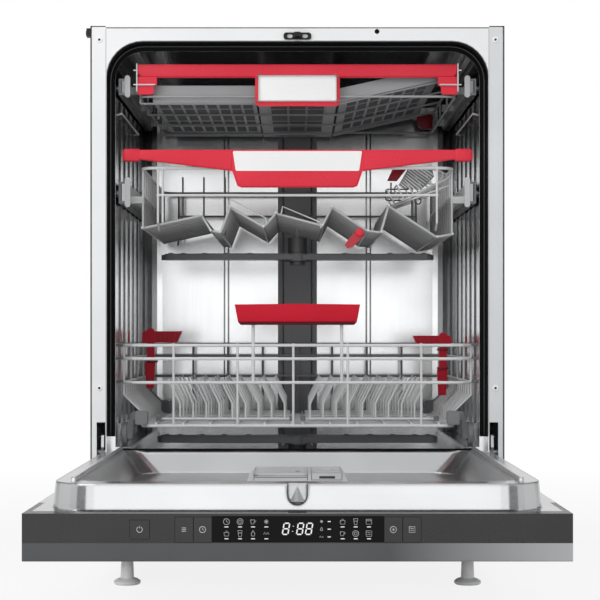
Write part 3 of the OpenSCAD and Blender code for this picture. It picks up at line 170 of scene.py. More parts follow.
# %% [markdown]
# ## Powder coat
# The side panels and the crossbar are white powder-coated steel. The powder flows out to a soft
# orange peel with waves of about 2 mm, which gives a satin face with a slightly uneven shine. The
# right panel's front strip lies further from the stronger lamp and is drawn a shade greyer.

# %% Powder coat
white_coat = surface(
    "white_powder_coat", "f0f2f3", "f5f6f7", 0.35, (2, 2, 2), 0.02,
    beyond=[("X", 276.9, False, "dcdee0", "e2e4e5", SHARP)],
)

# %% [markdown]
# ## Moulded plastics and rubber
# Pumps, spray arms and the filter are polypropylene, and handles and keys are ABS. They are
# moulded in tools with a spark-eroded texture of about 0.3 mm, drawn twice as coarse. Handles
# come from polished tools, so their relief is shallow and they shine more. The lower handle is
# drawn a near-black red below a height of 391 mm and red above it.

# %% Plastics and rubber
FINE, SMOOTH = (0.6, 0.6, 0.6), (1.5, 1.5, 1.5)
dark_pp = surface("dark_grey_polypropylene", "303134", "3a3b3e", 0.42, FINE, 0.02, specular=0.25)
duct_pp = surface("grey_talc_polypropylene", "66676a", "707174", 0.36, FINE, 0.02)
spray_pp = surface("spray_arm_polypropylene", "56575a", "626366", 0.36, FINE, 0.02)
black_pp = surface("black_polyamide", "121213", "1b1b1c", 0.40, FINE, 0.02, specular=0.25)
grey_pp = surface("mid_grey_polypropylene", "7d7f81", "898b8d", 0.42, FINE, 0.02)
pale_pp = surface("pale_grey_polypropylene", "c4c6c7", "cfd1d2", 0.38, FINE, 0.02)
lid_abs = surface("pale_grey_abs", "c3c4c6", "cfd0d2", 0.22, SMOOTH, 0.004)
red_abs = surface("red_abs", "e32b40", "e93247", 0.30, SMOOTH, 0.004, specular=0.25)
dark_red_abs = surface(
    "deep_red_abs", "4a0911", "520c15", 0.36, SMOOTH, 0.004, specular=0.15,
    beyond=[("Z", 390.6, False, "c8142b", "d01a32", 0.8)],
)
deep_edge = surface("deep_red_abs_edge", "7c0f1b", "8a1421", 0.35, SMOOTH, 0.004, specular=0.25)
plate_abs = surface("white_abs", "fafafa", "fdfdfd", 0.24, SMOOTH, 0.003)
console_abs = surface("anthracite_abs", "383838", "3d3d3d", 0.30, SMOOTH, 0.003, specular=0.25)
key_abs = surface("anthracite_key_abs", "393939", "3e3e3e", 0.32, SMOOTH, 0.003, specular=0.25)
window = surface(
    "smoked_acrylic", "0b0b0b", "0f0f0f", 0.14, SMOOTH, 0.001, swing=0.02, specular=0.12
)
board_green = surface("solder_mask", "0e4a22", "125528", 0.35, FINE, 0.01)
rubber = surface("epdm_rubber", "040405", "0a0a0b", 0.55, FINE, 0.03, specular=0.08)

# %% [markdown]
# Some fittings of a rack are moulded in different colours but fastened to the same wires. They
# share a solid, so the colour is chosen by place: beyond a height or a width, the other plastic
# takes over.

# %% Fittings by place
PALE_ENDS = ("X", 243, True, "b9bbbc", "c6c8c9", SHARP)
lower_fittings = surface(
    "grey_and_red_fittings", "797b7d", "858789", 0.36, SMOOTH, 0.01, specular=0.15,
    beyond=[("Z", 262, False, "b5152b", "bf1c33", SHARP)],
)
upper_fittings = surface(
    "dark_and_pale_fittings", "3f4042", "4a4b4d", 0.36, SMOOTH, 0.01,
    beyond=[("X", 60, False, "b3182b", "bd2033", SHARP), PALE_ENDS],
)
tray_plastic = surface(
    "tray_grey_polypropylene", "9b9d9f", "a7a9ab", 0.38, SMOOTH, 0.01, beyond=[PALE_ENDS]
)

# %% [markdown]
# ## Nylon-coated wire
# Rack wire is steel dipped in polyamide powder: a satin grey skin about 0.4 mm thick, a little
# lumpy because it melts on. The grain is 4 mm, which is the size of those lumps. Deep in the tub,
# from 440 mm behind the origin, the wires stand in shade and are drawn darker. The troughs of the
# upper rack are painted darker behind their front wires too, as shade, and what stands above
# 572 mm, its sides and rim, is pale again.

# %% Coated wire
LUMPS = (4, 4, 4)
PALE_WIRE, SHADED_WIRE = ("dcddde", "e6e7e8"), ("7c7d7e", "868788")
DEEP = ("Y", 440, False, *SHADED_WIRE, 40)
rack_wire = surface("nylon_coated_wire", *PALE_WIRE, 0.34, LUMPS, 0.08, beyond=[DEEP])
# Behind 98 mm the troughs are painted darker, as shade.
trough_wire = surface(
    "nylon_coated_trough_wire", *PALE_WIRE, 0.34, LUMPS, 0.08,
    beyond=[("Y", 98, False, "8e8f90", "9a9b9c", 30), ("Z", 572, False, *PALE_WIRE, 6), DEEP],
)
# Painted shade: wires that stand in shade are drawn in this dark tone.
shade_wire = surface("nylon_wire_painted_shade", "58595a", "626364", 0.34, LUMPS, 0.05)

# %% [markdown]
# ## The console's band
# The band is aluminium, anodised graphite and brushed along its length. From 100 mm right of the
# middle its tone fades to a paler one, which is a painted reflection of the lamps.

# %% Band
# Past 100 mm right of the middle, the paler tone is a painted reflection.
band = surface(
    "graphite_anodised_band", "505153", "545557", 0.36, ACROSS, 0.002, metal=0.6,
    beyond=[("X", 100, False, "a9abad", "adafb1", 200)],
)

# %% [markdown]
# ## Dressing the solids
# Each solid has one slot, so one table of node names and materials covers the whole machine.

# %% Assign finishes
finishes = {
    white_coat: "left_side_panel right_side_panel top_crossbar",
    galvanised: "top_cover rear_panel",
    stainless_tub: "tub",
    stainless_door: "door_liner",
    rail_steel: "fixed_rails upper_slide_rails tray_slide_rails",
    zinc_steel: "hinge_brackets hinge_arms",
    spring_steel: "hinge_springs",
    filter_steel: "fine_filter",
    panel_steel: "door_outer_panel",
    dark_pp: "base_pan sump circulation_pump drain_pump",
    duct_pp: "feed_duct",
    spray_pp: "lower_spray_arm upper_spray_arm",
    black_pp: "door_catch side_buffer door_lock",
    grey_pp: "ceiling_shower coarse_filter drain_outlet front_wheels rear_wheels",
    tray_plastic: "cutlery_tray",
    plate_abs: "levelling_feet upper_rack_plate panel_screws",
    pale_pp: "salt_cap inlet_valve water_softener",
    lid_abs: "dispenser_body detergent_lid rinse_aid_lid",
    red_abs: "upper_rack_handle tray_handle",
    dark_red_abs: "lower_rack_handle",
    console_abs: "console_housing",
    key_abs: "power_key program_key delay_key function_key half_load_key",
    band: "console_trim",
    window: "display_window",
    board_green: "control_board",
    rubber: "tub_gasket door_lip_seal",
    rack_wire: "lower_rack_wires left_folding_tines right_folding_tines",
    trough_wire: "upper_rack_wires",
    lower_fittings: "lower_rack_fittings",
    upper_fittings: "upper_rack_fittings",
}
dressed = set()
for material, names in finishes.items():
    for name in names.split():
        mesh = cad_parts[name].data
        mesh.materials.clear()
        mesh.materials.append(material)
        dressed.add(name)
print("dressed:", len(dressed), "left:", sorted(set(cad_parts) - dressed))

# %% [markdown]
# ## Making pieces by hand
# A few helpers keep the pieces short. Places are written in millimetres, measured from the
# cabinet's front edge or, on the door, as on the closed door, and turned into the frame's metres
# in one place. The door lies open, so what faces up on it was drawn facing back.

# %% Places
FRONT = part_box("left_side_panel")[0].y
DOOR_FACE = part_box("display_window")[0].y
print("front edge at", round(FRONT, 4), "console face at", round(DOOR_FACE, 4))


def at(x, y, z):
    return Vector((x * MM, FRONT + y * MM, z * MM))


def door_at(x, y, z):
    return at(x, 221 - z, y + 182)


# %% [markdown]
# Every piece ends the same way: its place goes into its mesh, it gets its finish, and it rides on
# the body that carries it. Faces that meet at less than an angle shade as one round form.

# %% Starting and finishing a piece
MOULD_ANGLE, WIRE_ANGLE, BEVEL_ANGLE = 40, 60, 60


def choose(piece):
    bpy.ops.object.select_all(action="DESELECT")
    piece.select_set(True)
    bpy.context.view_layer.objects.active = piece


def settle():
    """Puts the active object's place, turn and size into its mesh, and returns it."""
    bpy.ops.object.transform_apply(location=True, rotation=True, scale=True)
    return bpy.context.active_object


def done(piece, name, body, finish, smooth=None):
    choose(piece)
    settle()
    piece.name = name
    piece.data.name = name
    piece.data.materials.clear()
    piece.data.materials.append(finish)
    if smooth:
        bpy.ops.object.shade_smooth_by_angle(angle=math.radians(smooth))
    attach(piece, body)
    print(name, "rides", body, "with", len(piece.data.polygons), "faces")


# %% [markdown]
# Wire is bent from a straight length. Here a single point is pulled from bend to bend, and the
# path is then given a round section, which keeps the thickness even through the bends.


# %% Wire
def wire(routes, thick, round_steps=1):
    """Returns one mesh of round wires, thick in mm, one along each route of points."""
    bpy.ops.object.select_all(action="DESELECT")
    bpy.ops.mesh.primitive_plane_add(size=MM, location=routes[0][0])
    piece = bpy.context.active_object
    bpy.ops.object.transform_apply(location=True)
    bpy.ops.object.mode_set(mode="EDIT")
    for k, route in enumerate(routes):
        if k:
            bpy.ops.mesh.primitive_plane_add(size=MM, location=route[0])
        bpy.ops.mesh.merge(type="CENTER")
        for p, q in zip(route, route[1:]):
            bpy.ops.mesh.extrude_region_move(TRANSFORM_OT_translate={"value": q - p})
        bpy.ops.mesh.select_all(action="DESELECT")
    bpy.ops.object.mode_set(mode="OBJECT")
    bpy.ops.object.convert(target="CURVE")
    piece.data.bevel_depth = thick * MM / 2
    piece.data.bevel_resolution = round_steps
    piece.data.use_fill_caps = True
    bpy.ops.object.convert(target="MESH")
    return piece


# %% [markdown]
# Small solid trim starts as a cube pulled to its size, and its edges are broken with a bevel, as
# on any moulded piece. Trim with a freer outline is drawn point by point, filled and pulled
# forward.


# %% Moulded block and plate
def slab(low, high, edge=0.3, steps=2):
    """Returns a block between two points, its edges broken by edge mm."""
    bpy.ops.object.select_all(action="DESELECT")
    bpy.ops.mesh.primitive_cube_add(size=1, location=(low + high) / 2)
    bpy.context.active_object.scale = [abs(v) for v in high - low]
    piece = settle()
    bpy.ops.object.mode_set(mode="EDIT")
    bpy.ops.mesh.select_all(action="SELECT")
    bpy.ops.mesh.bevel(offset=edge * MM, segments=steps)
    bpy.ops.object.mode_set(mode="OBJECT")
    return piece


def moulded(outline, front, back, edge=0.8, steps=3):
    """Returns a plate cut to an outline of (x, z) in mm, its front edges rounded by edge mm."""
    bpy.ops.object.select_all(action="DESELECT")
    bpy.ops.mesh.primitive_plane_add(size=MM, location=at(outline[0][0], back, outline[0][1]))
    piece = bpy.context.active_object
    bpy.ops.object.transform_apply(location=True)
    bpy.ops.object.mode_set(mode="EDIT")
    bpy.ops.mesh.merge(type="CENTER")
    for (x0, z0), (x1, z1) in zip(outline, outline[1:]):
        bpy.ops.mesh.extrude_region_move(
            TRANSFORM_OT_translate={"value": ((x1 - x0) * MM, 0, (z1 - z0) * MM)}
        )
    bpy.ops.mesh.select_all(action="SELECT")
    bpy.ops.mesh.edge_face_add()
    pull = (0, (front - back) * MM, 0)
    bpy.ops.mesh.extrude_region_move(TRANSFORM_OT_translate={"value": pull})
    bpy.ops.mesh.bevel(offset=edge * MM, segments=steps)
    bpy.ops.mesh.select_all(action="SELECT")
    bpy.ops.mesh.normals_make_consistent(inside=False)
    bpy.ops.object.mode_set(mode="OBJECT")
    return piece


# %% [markdown]
# ## The display
# A white seven-segment display shines through the smoked window. Each digit is seven bars that
# lean a little, and the colon between them is two short ones. Their middle lies 0.1 mm in front
# of the window, so that half of each bar shows. Their light is a little uneven, as behind a
# diffuser.

# %% Lit material
lit = bpy.data.materials.new("lit_segments")
lit.use_nodes = True
lit_tree = lit.node_tree
lit_tree.nodes.clear()
lit_place = add(lit_tree, "ShaderNodeTexCoord").outputs["Object"]
uneven = add(lit_tree, "ShaderNodeTexNoise", Vector=lit_place, Scale=400.0)
level = add(lit_tree, "ShaderNodeMapRange", Value=uneven.outputs[0], To_Min=0.85, To_Max=1.0)
emission = add(
    lit_tree, "ShaderNodeEmission", Color=linear("ffffff"), Strength=level.outputs[0]
)
add(lit_tree, "ShaderNodeOutputMaterial", Surface=emission.outputs[0])
print("lit nodes:", len(lit_tree.nodes))

# %% Digits
PRINT_Y = DOOR_FACE - 0.1 * MM
LEAN, CORNER_GAP = 0.17, 0.7
DIGIT_Z, DIGIT_HALF_WIDTH, DIGIT_HALF_HEIGHT, COLON_X = 161.6, 3.0, 6.0, -4.8


def lean(x, z, x0):
    """Places a point of a digit that stands at x0 and leans to the right as it rises."""
    return Vector((x * MM + (z - DIGIT_Z) * MM * LEAN + x0 * MM, PRINT_Y, z * MM))


def eight(x0):
    """The strokes of an 8, as pairs of points, with a small gap at each corner."""
    w, gap = DIGIT_HALF_WIDTH, CORNER_GAP
    top, middle, low = DIGIT_Z + DIGIT_HALF_HEIGHT, DIGIT_Z, DIGIT_Z - DIGIT_HALF_HEIGHT
    across = [[(-w + gap, z), (w - gap, z)] for z in (top, middle, low)]
    upright = [
        [(x, a + gap), (x, b - gap)] for x in (-w, w) for a, b in ((low, middle), (middle, top))
    ]
    return [[lean(x, z, x0) for x, z in stroke] for stroke in across + upright]


segments = [stroke for x0 in (-12.3, 3.0, 12.6) for stroke in eight(x0)]
for rise in (-3, 2.5):
    segments.append([lean(COLON_X, DIGIT_Z + rise + end, 0) for end in (0, 0.5)])
done(wire(segments, 1.5), "display_digits", "door", lit)

# %% [markdown]
# ## Printed marks
# Beside the digits stand small pictograms, each with a lit dash below it. They are generic: a
# plate, a glass, a pot, a clock, a drop, a star. Each is a few strokes in a unit square, so one
# table holds them.

# %% Pictograms
print_grey = surface("screen_print", "c6c6c6", "d0d0d0", 0.5, SMOOTH, 0.002)


def ring(radius, sides=12, turn=0.0, part=1.0):
    """Points round a circle, or round the given part of it."""
    angles = [turn + part * 2 * math.pi * k / sides for k in range(sides + 1)]
    return [(radius * math.cos(a), radius * math.sin(a)) for a in angles]


def rectangle(half_width, half_height):
    """The outline of a rectangle, from its upper left corner."""
    w, h = half_width, half_height
    return [(-w, h), (w, h), (w, -h), (-w, -h), (-w, h)]


shapes = {
    "plate": [ring(1.0), ring(0.5, 8)],
    "clock": [ring(1.0), [(0, 0.6), (0, 0), (0.45, -0.2)]],
    "glass": [
        [(-0.7, 1), (-0.4, -1), (0.4, -1), (0.7, 1), (-0.7, 1)],
        [(-0.55, 0.2), (0.55, 0.2)],
    ],
    "pot": [
        [(-0.8, 0.4), (-0.7, -0.8), (0.7, -0.8), (0.8, 0.4), (-0.8, 0.4)],
        [(-0.3, 0.8), (0.3, 0.8)],
    ],
    "drop": [[(0, 1), (-0.6, -0.1), (-0.45, -0.8), (0.45, -0.8), (0.6, -0.1), (0, 1)]],
    "star": [
        [(-0.8, 0), (0.8, 0)],
        [(0, -0.8), (0, 0.8)],
        [(-0.5, -0.5), (0.5, 0.5)],
        [(-0.5, 0.5), (0.5, -0.5)],
    ],
    "wave": [[(-0.9, -0.3), (-0.5, 0.4), (0, -0.3), (0.5, 0.4), (0.9, -0.3)]],
    "tray": [rectangle(0.9, 0.8), [(-0.9, 0.3), (0.9, 0.3)]],
    "cup": [
        [(-0.8, 0.6), (-0.6, -0.7), (0.3, -0.7), (0.5, 0.6), (-0.8, 0.6)],
        [(0.5, 0.3), (1, 0.2), (0.4, -0.3)],
    ],
    "power": [ring(0.9, 14, math.pi * 0.68, 0.82), [(0, 0.4), (0, 1.1)]],
    "bars": [[(-0.8, z), (0.8, z)] for z in (-0.6, 0.0, 0.6)],
    "plus": [ring(1.0), [(-0.5, 0), (0.5, 0)], [(0, -0.5), (0, 0.5)]],
    "half": [
        rectangle(0.9, 0.9),
        [(-0.5, 0.3), (0.5, 0.3)],
        [(-0.5, -0.3), (-0.1, -0.3)],
        [(0.1, -0.3), (0.5, -0.3)],
    ],
}
print("pictograms:", ", ".join(shapes))

# %% [markdown]
# The marks stand in two rows and four columns left of the digits, three columns right of them,
# and one narrow column of small ones beside the last digit. Each key carries one mark of its own.

# %% Marks on the window and the keys
ROWS, DASH_DROP, KEY_MARK_Z = (169.2, 156.4), 5.6, 160.8
MARK_HALF, SMALL_HALF = 3.3, 2.1
LEFT_MARKS = (
    (-76.6, "clock", "pot"),
    (-61.9, "plate", "glass"),
    (-47.9, "cup", "drop"),
    (-33.6, "star", "wave"),
)
RIGHT_MARKS = ((48.8, "pot", "cup"), (62.9, "glass", "plate"), (77.2, "tray", "half"))


def mark(shape, x, z, half, y=PRINT_Y):
    return [
        [Vector(((x + u * half) * MM, y, (z + v * half) * MM)) for u, v in stroke]
        for stroke in shapes[shape]
    ]


def dash(x, z, half=2.1):
    return [Vector(((x + end) * MM, PRINT_Y, z * MM)) for end in (-half, half)]


strokes, dashes = [], []
for x, *pair in LEFT_MARKS + RIGHT_MARKS:
    for z, shape in zip(ROWS, pair):
        strokes += mark(shape, x, z, MARK_HALF)
        dashes.append(dash(x, z - DASH_DROP))
for z, shape in ((169.4, "star"), (161.2, "drop"), (152.8, "wave")):
    strokes += mark(shape, 26.0, z, SMALL_HALF)
    dashes.append(dash(34.3, z, 1.7))
done(wire(strokes, 0.5, 0), "console_pictograms", "door", print_grey)
done(wire(dashes, 0.9, 0), "console_lit_dashes", "door", lit)

key_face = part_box("power_key")[0].y - 0.05 * MM
for key, shape, half in (
    ("power_key", "power", 3.4),
    ("program_key", "bars", 3.0),
    ("delay_key", "clock", 3.4),
    ("function_key", "plus", 3.4),
    ("half_load_key", "half", 3.4),
):
    low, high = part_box(key)
    key_x = (low.x + high.x) / 2 / MM
    key_mark = wire(mark(shape, key_x, KEY_MARK_Z, half, key_face), 0.75, 0)
    done(key_mark, key + "_mark", key, print_grey)

# %% [markdown]
# ## White plate on the tray's handle
# The tray handle carries a white plate in its frame. It is a thin moulding with rounded corners,
# clipped over a raised panel, so the piece stands just proud of that panel. Only the four short
# edges that run from front to back are rounded further, which gives the plate its corners.

# %% Tray plate
PLATE_HALF, PLATE_LOW, PLATE_HIGH, PLATE_CORNER = 57.5, 713.5, 751.5, 4
tray_face = (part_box("tray_handle")[0].y - FRONT) / MM
plate = slab(
    at(-PLATE_HALF, tray_face - 0.6, PLATE_LOW), at(PLATE_HALF, tray_face + 0.7, PLATE_HIGH), 0.3
)
choose(plate)
bpy.ops.object.mode_set(mode="EDIT")
bpy.ops.mesh.select_all(action="DESELECT")
bpy.ops.object.mode_set(mode="OBJECT")
for edge in plate.data.edges:
    p, q = (plate.data.vertices[i].co for i in edge.vertices)
    runs_back = abs(p.x - q.x) < 1e-6 and abs(p.z - q.z) < 1e-6
    edge.select = runs_back and abs(p.y - q.y) > 0.4 * MM
bpy.ops.object.mode_set(mode="EDIT")
bpy.ops.mesh.bevel(offset=PLATE_CORNER * MM, segments=6)
bpy.ops.object.mode_set(mode="OBJECT")
done(plate, "tray_handle_plate", "cutlery_tray", plate_abs, MOULD_ANGLE)

# %% [markdown]
# ## Cutlery tray's mesh
# The floor of each compartment is a fine mesh, so that small spoons don't fall through. The solid
# has only its long slots. Short ribs at 7.1 mm across them make the mesh. One rib is made, then
# repeated along the depth, and those of the right compartment are turned to its slope.

# %% Mesh ribs
RIB_COUNT, RIB_PITCH, RIB_FRONT, RIB_BACK, RIB_HEIGHT = 57, 7.1, 53.5, 55.0, 2.0
rib_grey = surface("mesh_grey_polypropylene", "56585a", "626466", 0.38, SMOOTH, 0.01)


def modify(piece, kind, **settings):
    choose(piece)
    modifier = piece.modifiers.new(kind.lower(), kind)
    for key, value in settings.items():
        setattr(modifier, key, value)
    bpy.ops.object.modifier_apply(modifier=modifier.name)


def mesh_ribs(name, low_x, high_x, low_z, slope=0.0):
    rib = slab(at(low_x, RIB_FRONT, low_z), at(high_x, RIB_BACK, low_z + RIB_HEIGHT), 0.2, 1)
    modify(
        rib, "ARRAY", count=RIB_COUNT, use_relative_offset=False, use_constant_offset=True,
        constant_offset_displace=(0, RIB_PITCH * MM, 0),
    )
    if slope:
        choose(rib)
        bpy.ops.object.mode_set(mode="EDIT")
        bpy.ops.mesh.select_all(action="SELECT")
        bpy.ops.transform.rotate(
            value=math.radians(slope), orient_axis="Y", center_override=at(low_x, 0, low_z)
        )
        bpy.ops.object.mode_set(mode="OBJECT")
    done(rib, name, "cutlery_tray", rib_grey)


mesh_ribs("deep_tray_mesh", -211, -63, 715.1)
mesh_ribs("knife_channel_mesh", -56, 56, 714.6)
mesh_ribs("sloping_tray_mesh", 64, 207, 716.0, 12.5)

# %% [markdown]
# ## Wire clips and blocks at the handles' ends
# The tray's handle is held at each end by a bent wire, and the upper rack's handle ends in a
# rounded block. Both are modelled on the left. A copy with a mesh of its own is mirrored to the
# right, and its faces are turned back out, so that each piece can be exported by itself.


# %% Handle ends
def done_twice(piece, name, body, finish):
    """Finishes a moulding made on the left, and its mirror image with its faces still out."""
    twin = piece.copy()
    twin.data = piece.data.copy()
    twin.data.transform(Matrix.Scale(-1, 4, Vector((1, 0, 0))))
    twin.data.flip_normals()
    bpy.context.scene.collection.objects.link(twin)
    done(piece, "left_" + name, body, finish, MOULD_ANGLE)
    done(twin, "right_" + name, body, finish, MOULD_ANGLE)


clip = wire(
    [
        [at(-235, 31, 728), at(-235, 31, 769)],
        [at(-240, 31, 738), at(-208, 31, 738)],
        [at(-240, 31, 759), at(-235, 31, 759)],
        [at(-235, 31, 732), at(-235, 40, 732)],
    ],
    2.2,
)
done_twice(clip, "tray_clip", "cutlery_tray", rack_wire)
block = slab(at(-255, 32.2, 626), at(-231, 41, 644.5), 2.2, 3)
done_twice(block, "upper_handle_end", "upper_rack", red_abs)

# %% [markdown]
# ## Crowned fronts of the handles
# The handles are moulded with a soft crown, so their edges catch a line of light. Each crown is
# the handle's own outline, drawn point by point, pulled about 1.4 mm forward and rounded. All of
# them stand on the handles' faces, whose depth they share.

# %% Handle crowns
HANDLE_FACE = 33.7
crown = moulded(
    [
        (-228, 750), (228, 750), (234, 756), (234, 766), (233, 767.4), (-233, 767.4), (-234, 766),
        (-234, 756),
    ],
    32.1, HANDLE_FACE, 1.3, 4,
)
done(crown, "tray_handle_crown", "cutlery_tray", red_abs, MOULD_ANGLE)
wing = moulded(
    [(-96.5, 613), (-95.5, 642.3), (-233, 642.3), (-233, 629.6)], 32.5, HANDLE_FACE, 1.0, 4
)
done_twice(wing, "upper_handle_crown", "upper_rack", red_abs)
grip = moulded(
    [
        (-80.5, 588.6), (80.5, 588.6), (86.5, 591.2), (88.5, 596), (93.5, 610.8), (-93.5, 610.8),
        (-88.5, 596), (-86.5, 591.2),
    ],
    32.3, HANDLE_FACE, 1.2, 4,
)
done(grip, "upper_grip_crown", "upper_rack", red_abs, MOULD_ANGLE)
lower = moulded(
    [(-82, 391), (82, 391), (86.8, 394.5), (91.2, 416), (0, 417), (-91.2, 416), (-86.8, 394.5)],
    32.4, HANDLE_FACE, 1.2, 4,
)
done(lower, "lower_handle_crown", "lower_rack", dark_red_abs, MOULD_ANGLE)

# %% [markdown]
# ## End cap of the tray
# At the tray's rear right corner hangs a deep red cap, which guides the tray past the upper rack.
# Its lower corners are rounded, so it is cut to an outline like the crowns.

# %% Tray cap
CAP_OUTLINE = [(206, 752), (206, 738), (209, 731), (215, 727), (231, 727), (235, 732), (236, 752)]
cap = moulded(CAP_OUTLINE, 448, 463.5, 1.2, 3)
done(cap, "tray_end_cap", "cutlery_tray", deep_edge, MOULD_ANGLE)

# %% [markdown]
# ## Posts and rods of the upper rack
# Thin posts in the upper rack keep cups apart. They stand in shade and are painted darker than the
# basket. Two bent rods hook over the ridges between the troughs at the front and brace them.

# %% Posts and rods
POST_Y, POST_TOP, ROD_Y = 150, 614, 60
posts = [
    [at(x, POST_Y, low), at(x, POST_Y, POST_TOP)]
    for x, low in ((-176, 541), (-143.6, 548), (-111, 525), (176, 537))
]
done(wire(posts, 2.8), "upper_rack_posts", "upper_rack", shade_wire, WIRE_ANGLE)
trough_rods = [
    [at(x, ROD_Y, z) for x, z in ((-101, 562), (-99, 573), (-47, 545), (-45, 535))],
    [at(x, ROD_Y, z) for x, z in ((-24, 551), (-22, 562), (33, 539), (35, 530))],
]
done(wire(trough_rods, 2.6), "trough_rods", "upper_rack", rack_wire, WIRE_ANGLE)

# %% [markdown]
# ## Cup rest
# At the right of the upper rack, a small grey shelf with raised white wires and a ribbed red end
# carries cups and long knives. The shelf leans, so its wires run down to the right. They are
# drawn as one fan: three from the top edge, then nine that each start a step further down the
# left edge. The first five of those end on the slanting right edge, and the others along the
# lower one. Two white hooks lead from the shelf to the rack's side, and a wire cradle with an
# eye, in shade and painted dark, stands behind and below it.


# %% Cup rest
def joined(pieces):
    bpy.ops.object.select_all(action="DESELECT")
    for piece in pieces:
        piece.select_set(True)
    bpy.context.view_layer.objects.active = pieces[0]
    bpy.ops.object.join()
    return pieces[0]


FAN_Y, FAN_TOP, HOOK_Y, CRADLE_Y = 95.5, 622.5, 104, 120
shelf_outline = [(167, 623), (202.5, 623), (205.5, 610), (186, 590), (157, 593), (152, 597)]
shelf = moulded(shelf_outline, 97, 99, 0.6, 2)
done(shelf, "cup_rest_shelf", "upper_rack", grey_pp, MOULD_ANGLE)

fan = [
    [at(x, FAN_Y, FAN_TOP), at(x + 1.43 * (FAN_TOP - z), FAN_Y, z)]
    for x, z in ((175, 606), (182, 608.5), (189, 611.5))
]
for i in range(9):
    x, z = (196 - 2.9 * i, 603 - 3.15 * i) if i < 5 else (206 - 6.02 * i, 587.7 + 0.7 * i)
    fan.append([at(168.2 - 1.9 * i, FAN_Y, FAN_TOP - 3.2 * i), at(x, FAN_Y, z)])
hook_bends = (
    ((201.5, 622), (216.7, 618), (225.8, 613.5), (224.2, 607.4), (215, 604.4)),
    ((196, 600), (213.6, 598.3), (218.9, 601.3), (219.7, 616)),
)
hooks = [[at(x, HOOK_Y, z) for x, z in bends] for bends in hook_bends]
done(wire(fan + hooks, 2.2), "cup_rest_wires", "upper_rack", rack_wire, WIRE_ANGLE)

cradle_bends = (
    ((169, 593), (136, 593), (134, 591), (134, 578), (136, 576), (169, 576)),
    ((142, 603), (142, 576)),
    [(183 + x, 575 + z) for x, z in ring(4.6)],
)
cradle = [[at(x, CRADLE_Y, z) for x, z in bends] for bends in cradle_bends]
done(wire(cradle, 2.4), "cup_rest_cradle", "upper_rack", shade_wire, WIRE_ANGLE)

rest_end = [moulded([(134.5, 603), (149, 602.5), (164, 621), (143, 621)], 88, 94, 1.0, 2)]
for k in range(3):
    x, z = 139.5 + 4.5 * k, 606 + 5 * k
    rest_end.append(slab(at(x, 87.2, z), at(x + 10.5, 88.4, z + 1.6), 0.3, 1))
done(joined(rest_end), "cup_rest_end", "upper_rack", deep_edge, MOULD_ANGLE)

# %% [markdown]
# ## Clip's pin
# The red clip on the trough turns on a round pin with a rounded head. The pin starts as a
# cylinder, and so do the other round pieces below.


# %% Clip pin
def disc(place, radius, depth, sides, turned=math.pi / 2):
    """Returns a cylinder of sizes in mm, which faces the front unless it isn't turned."""
    bpy.ops.object.select_all(action="DESELECT")
    bpy.ops.mesh.primitive_cylinder_add(
        vertices=sides,
        radius=radius * MM,
        depth=depth * MM,
        location=place,
        rotation=(turned, 0, 0),
    )
    return settle()


pin = disc(at(92, 58.5, 523.5), 6.2, 5, 24)
modify(pin, "BEVEL", width=1.6 * MM, segments=3, angle_limit=math.radians(BEVEL_ANGLE))
done(pin, "trough_clip_pin", "upper_rack", red_abs, MOULD_ANGLE)

# %% [markdown]
# ## Rubber bead
# The tub's gasket has a round bead along its outer edge, which is what the closed door presses
# on. It follows the rounded frame and stops above the hinges. Each upper corner is a quarter
# circle of eight steps.

# %% Bead
BEAD_HALF, BEAD_TOP, BEAD_LOW, BEAD_RADIUS, BEAD_Y, CORNER_STEPS = 272.8, 792.8, 226, 49.8, 27, 8
bead_rubber = surface("gloss_epdm_rubber", "232425", "2c2d2e", 0.22, FINE, 0.002)
route = [at(-BEAD_HALF, BEAD_Y, BEAD_LOW)]
for corner, start in ((-1, 180), (1, 90)):
    for k in range(CORNER_STEPS + 1):
        angle = math.radians(start - k * 90 / CORNER_STEPS)
        x = corner * (BEAD_HALF - BEAD_RADIUS) + BEAD_RADIUS * math.cos(angle)
        route.append(at(x, BEAD_Y, BEAD_TOP - BEAD_RADIUS + BEAD_RADIUS * math.sin(angle)))
route.append(at(BEAD_HALF, BEAD_Y, BEAD_LOW))
done(wire([route], 2.4, 2), "gasket_bead", "cabinet", bead_rubber, WIRE_ANGLE)

# %% [markdown]
# ## Sockets of the strip screws
# Each screw in the front strips has a hexagon socket. The shade in it is painted as a thin black
# disc with six sides on the screw's head.

# %% Screw sockets
# Painted shade in each socket.
sockets = [disc(at(x, -1.45, z), 1.9, 0.5, 6) for x in (-286, 286) for z in (295, 798)]
done(joined(sockets), "screw_sockets", "cabinet", black_pp)

# %% [markdown]
# ## Edge seal and joints of the cabinet
# A thin black sealing lip runs round the front edge of a built-in machine and closes the gap to
# the furniture. The joints between the side panels and the crossbar show as fine grey lines. Both
# stand 0.1 mm proud of the sheet.

# %% Edge seal and joints
PROUD = -0.1
seal = []
for side in (-1, 1):
    seal.append(slab(at(side * 298.2 - 0.8, PROUD, 60), at(side * 298.2 + 0.8, 2, 818), 0.2, 1))
    seal.append(slab(at(side * 288 - 11, PROUD, 816.4), at(side * 288 + 11, 2, 818), 0.2, 1))
seal.append(slab(at(-277, PROUD, 814.4), at(277, 2, 816), 0.2, 1))
done(joined(seal), "cabinet_edge_seal", "cabinet", black_pp)
joints = [
    slab(at(side * 276.6 - 0.9, PROUD, 226), at(side * 276.6 + 0.9, 1, 814), 0.2, 1)
    for side in (-1, 1)
]
done(joined(joints), "panel_joint_lines", "cabinet", pale_pp)

# %% [markdown]
# ## Guide rods
# A white rod runs back along each wall of the tub, below the tray's rail, and keeps the upper
# rack from tipping. It is one straight wire with both ends turned to the wall.

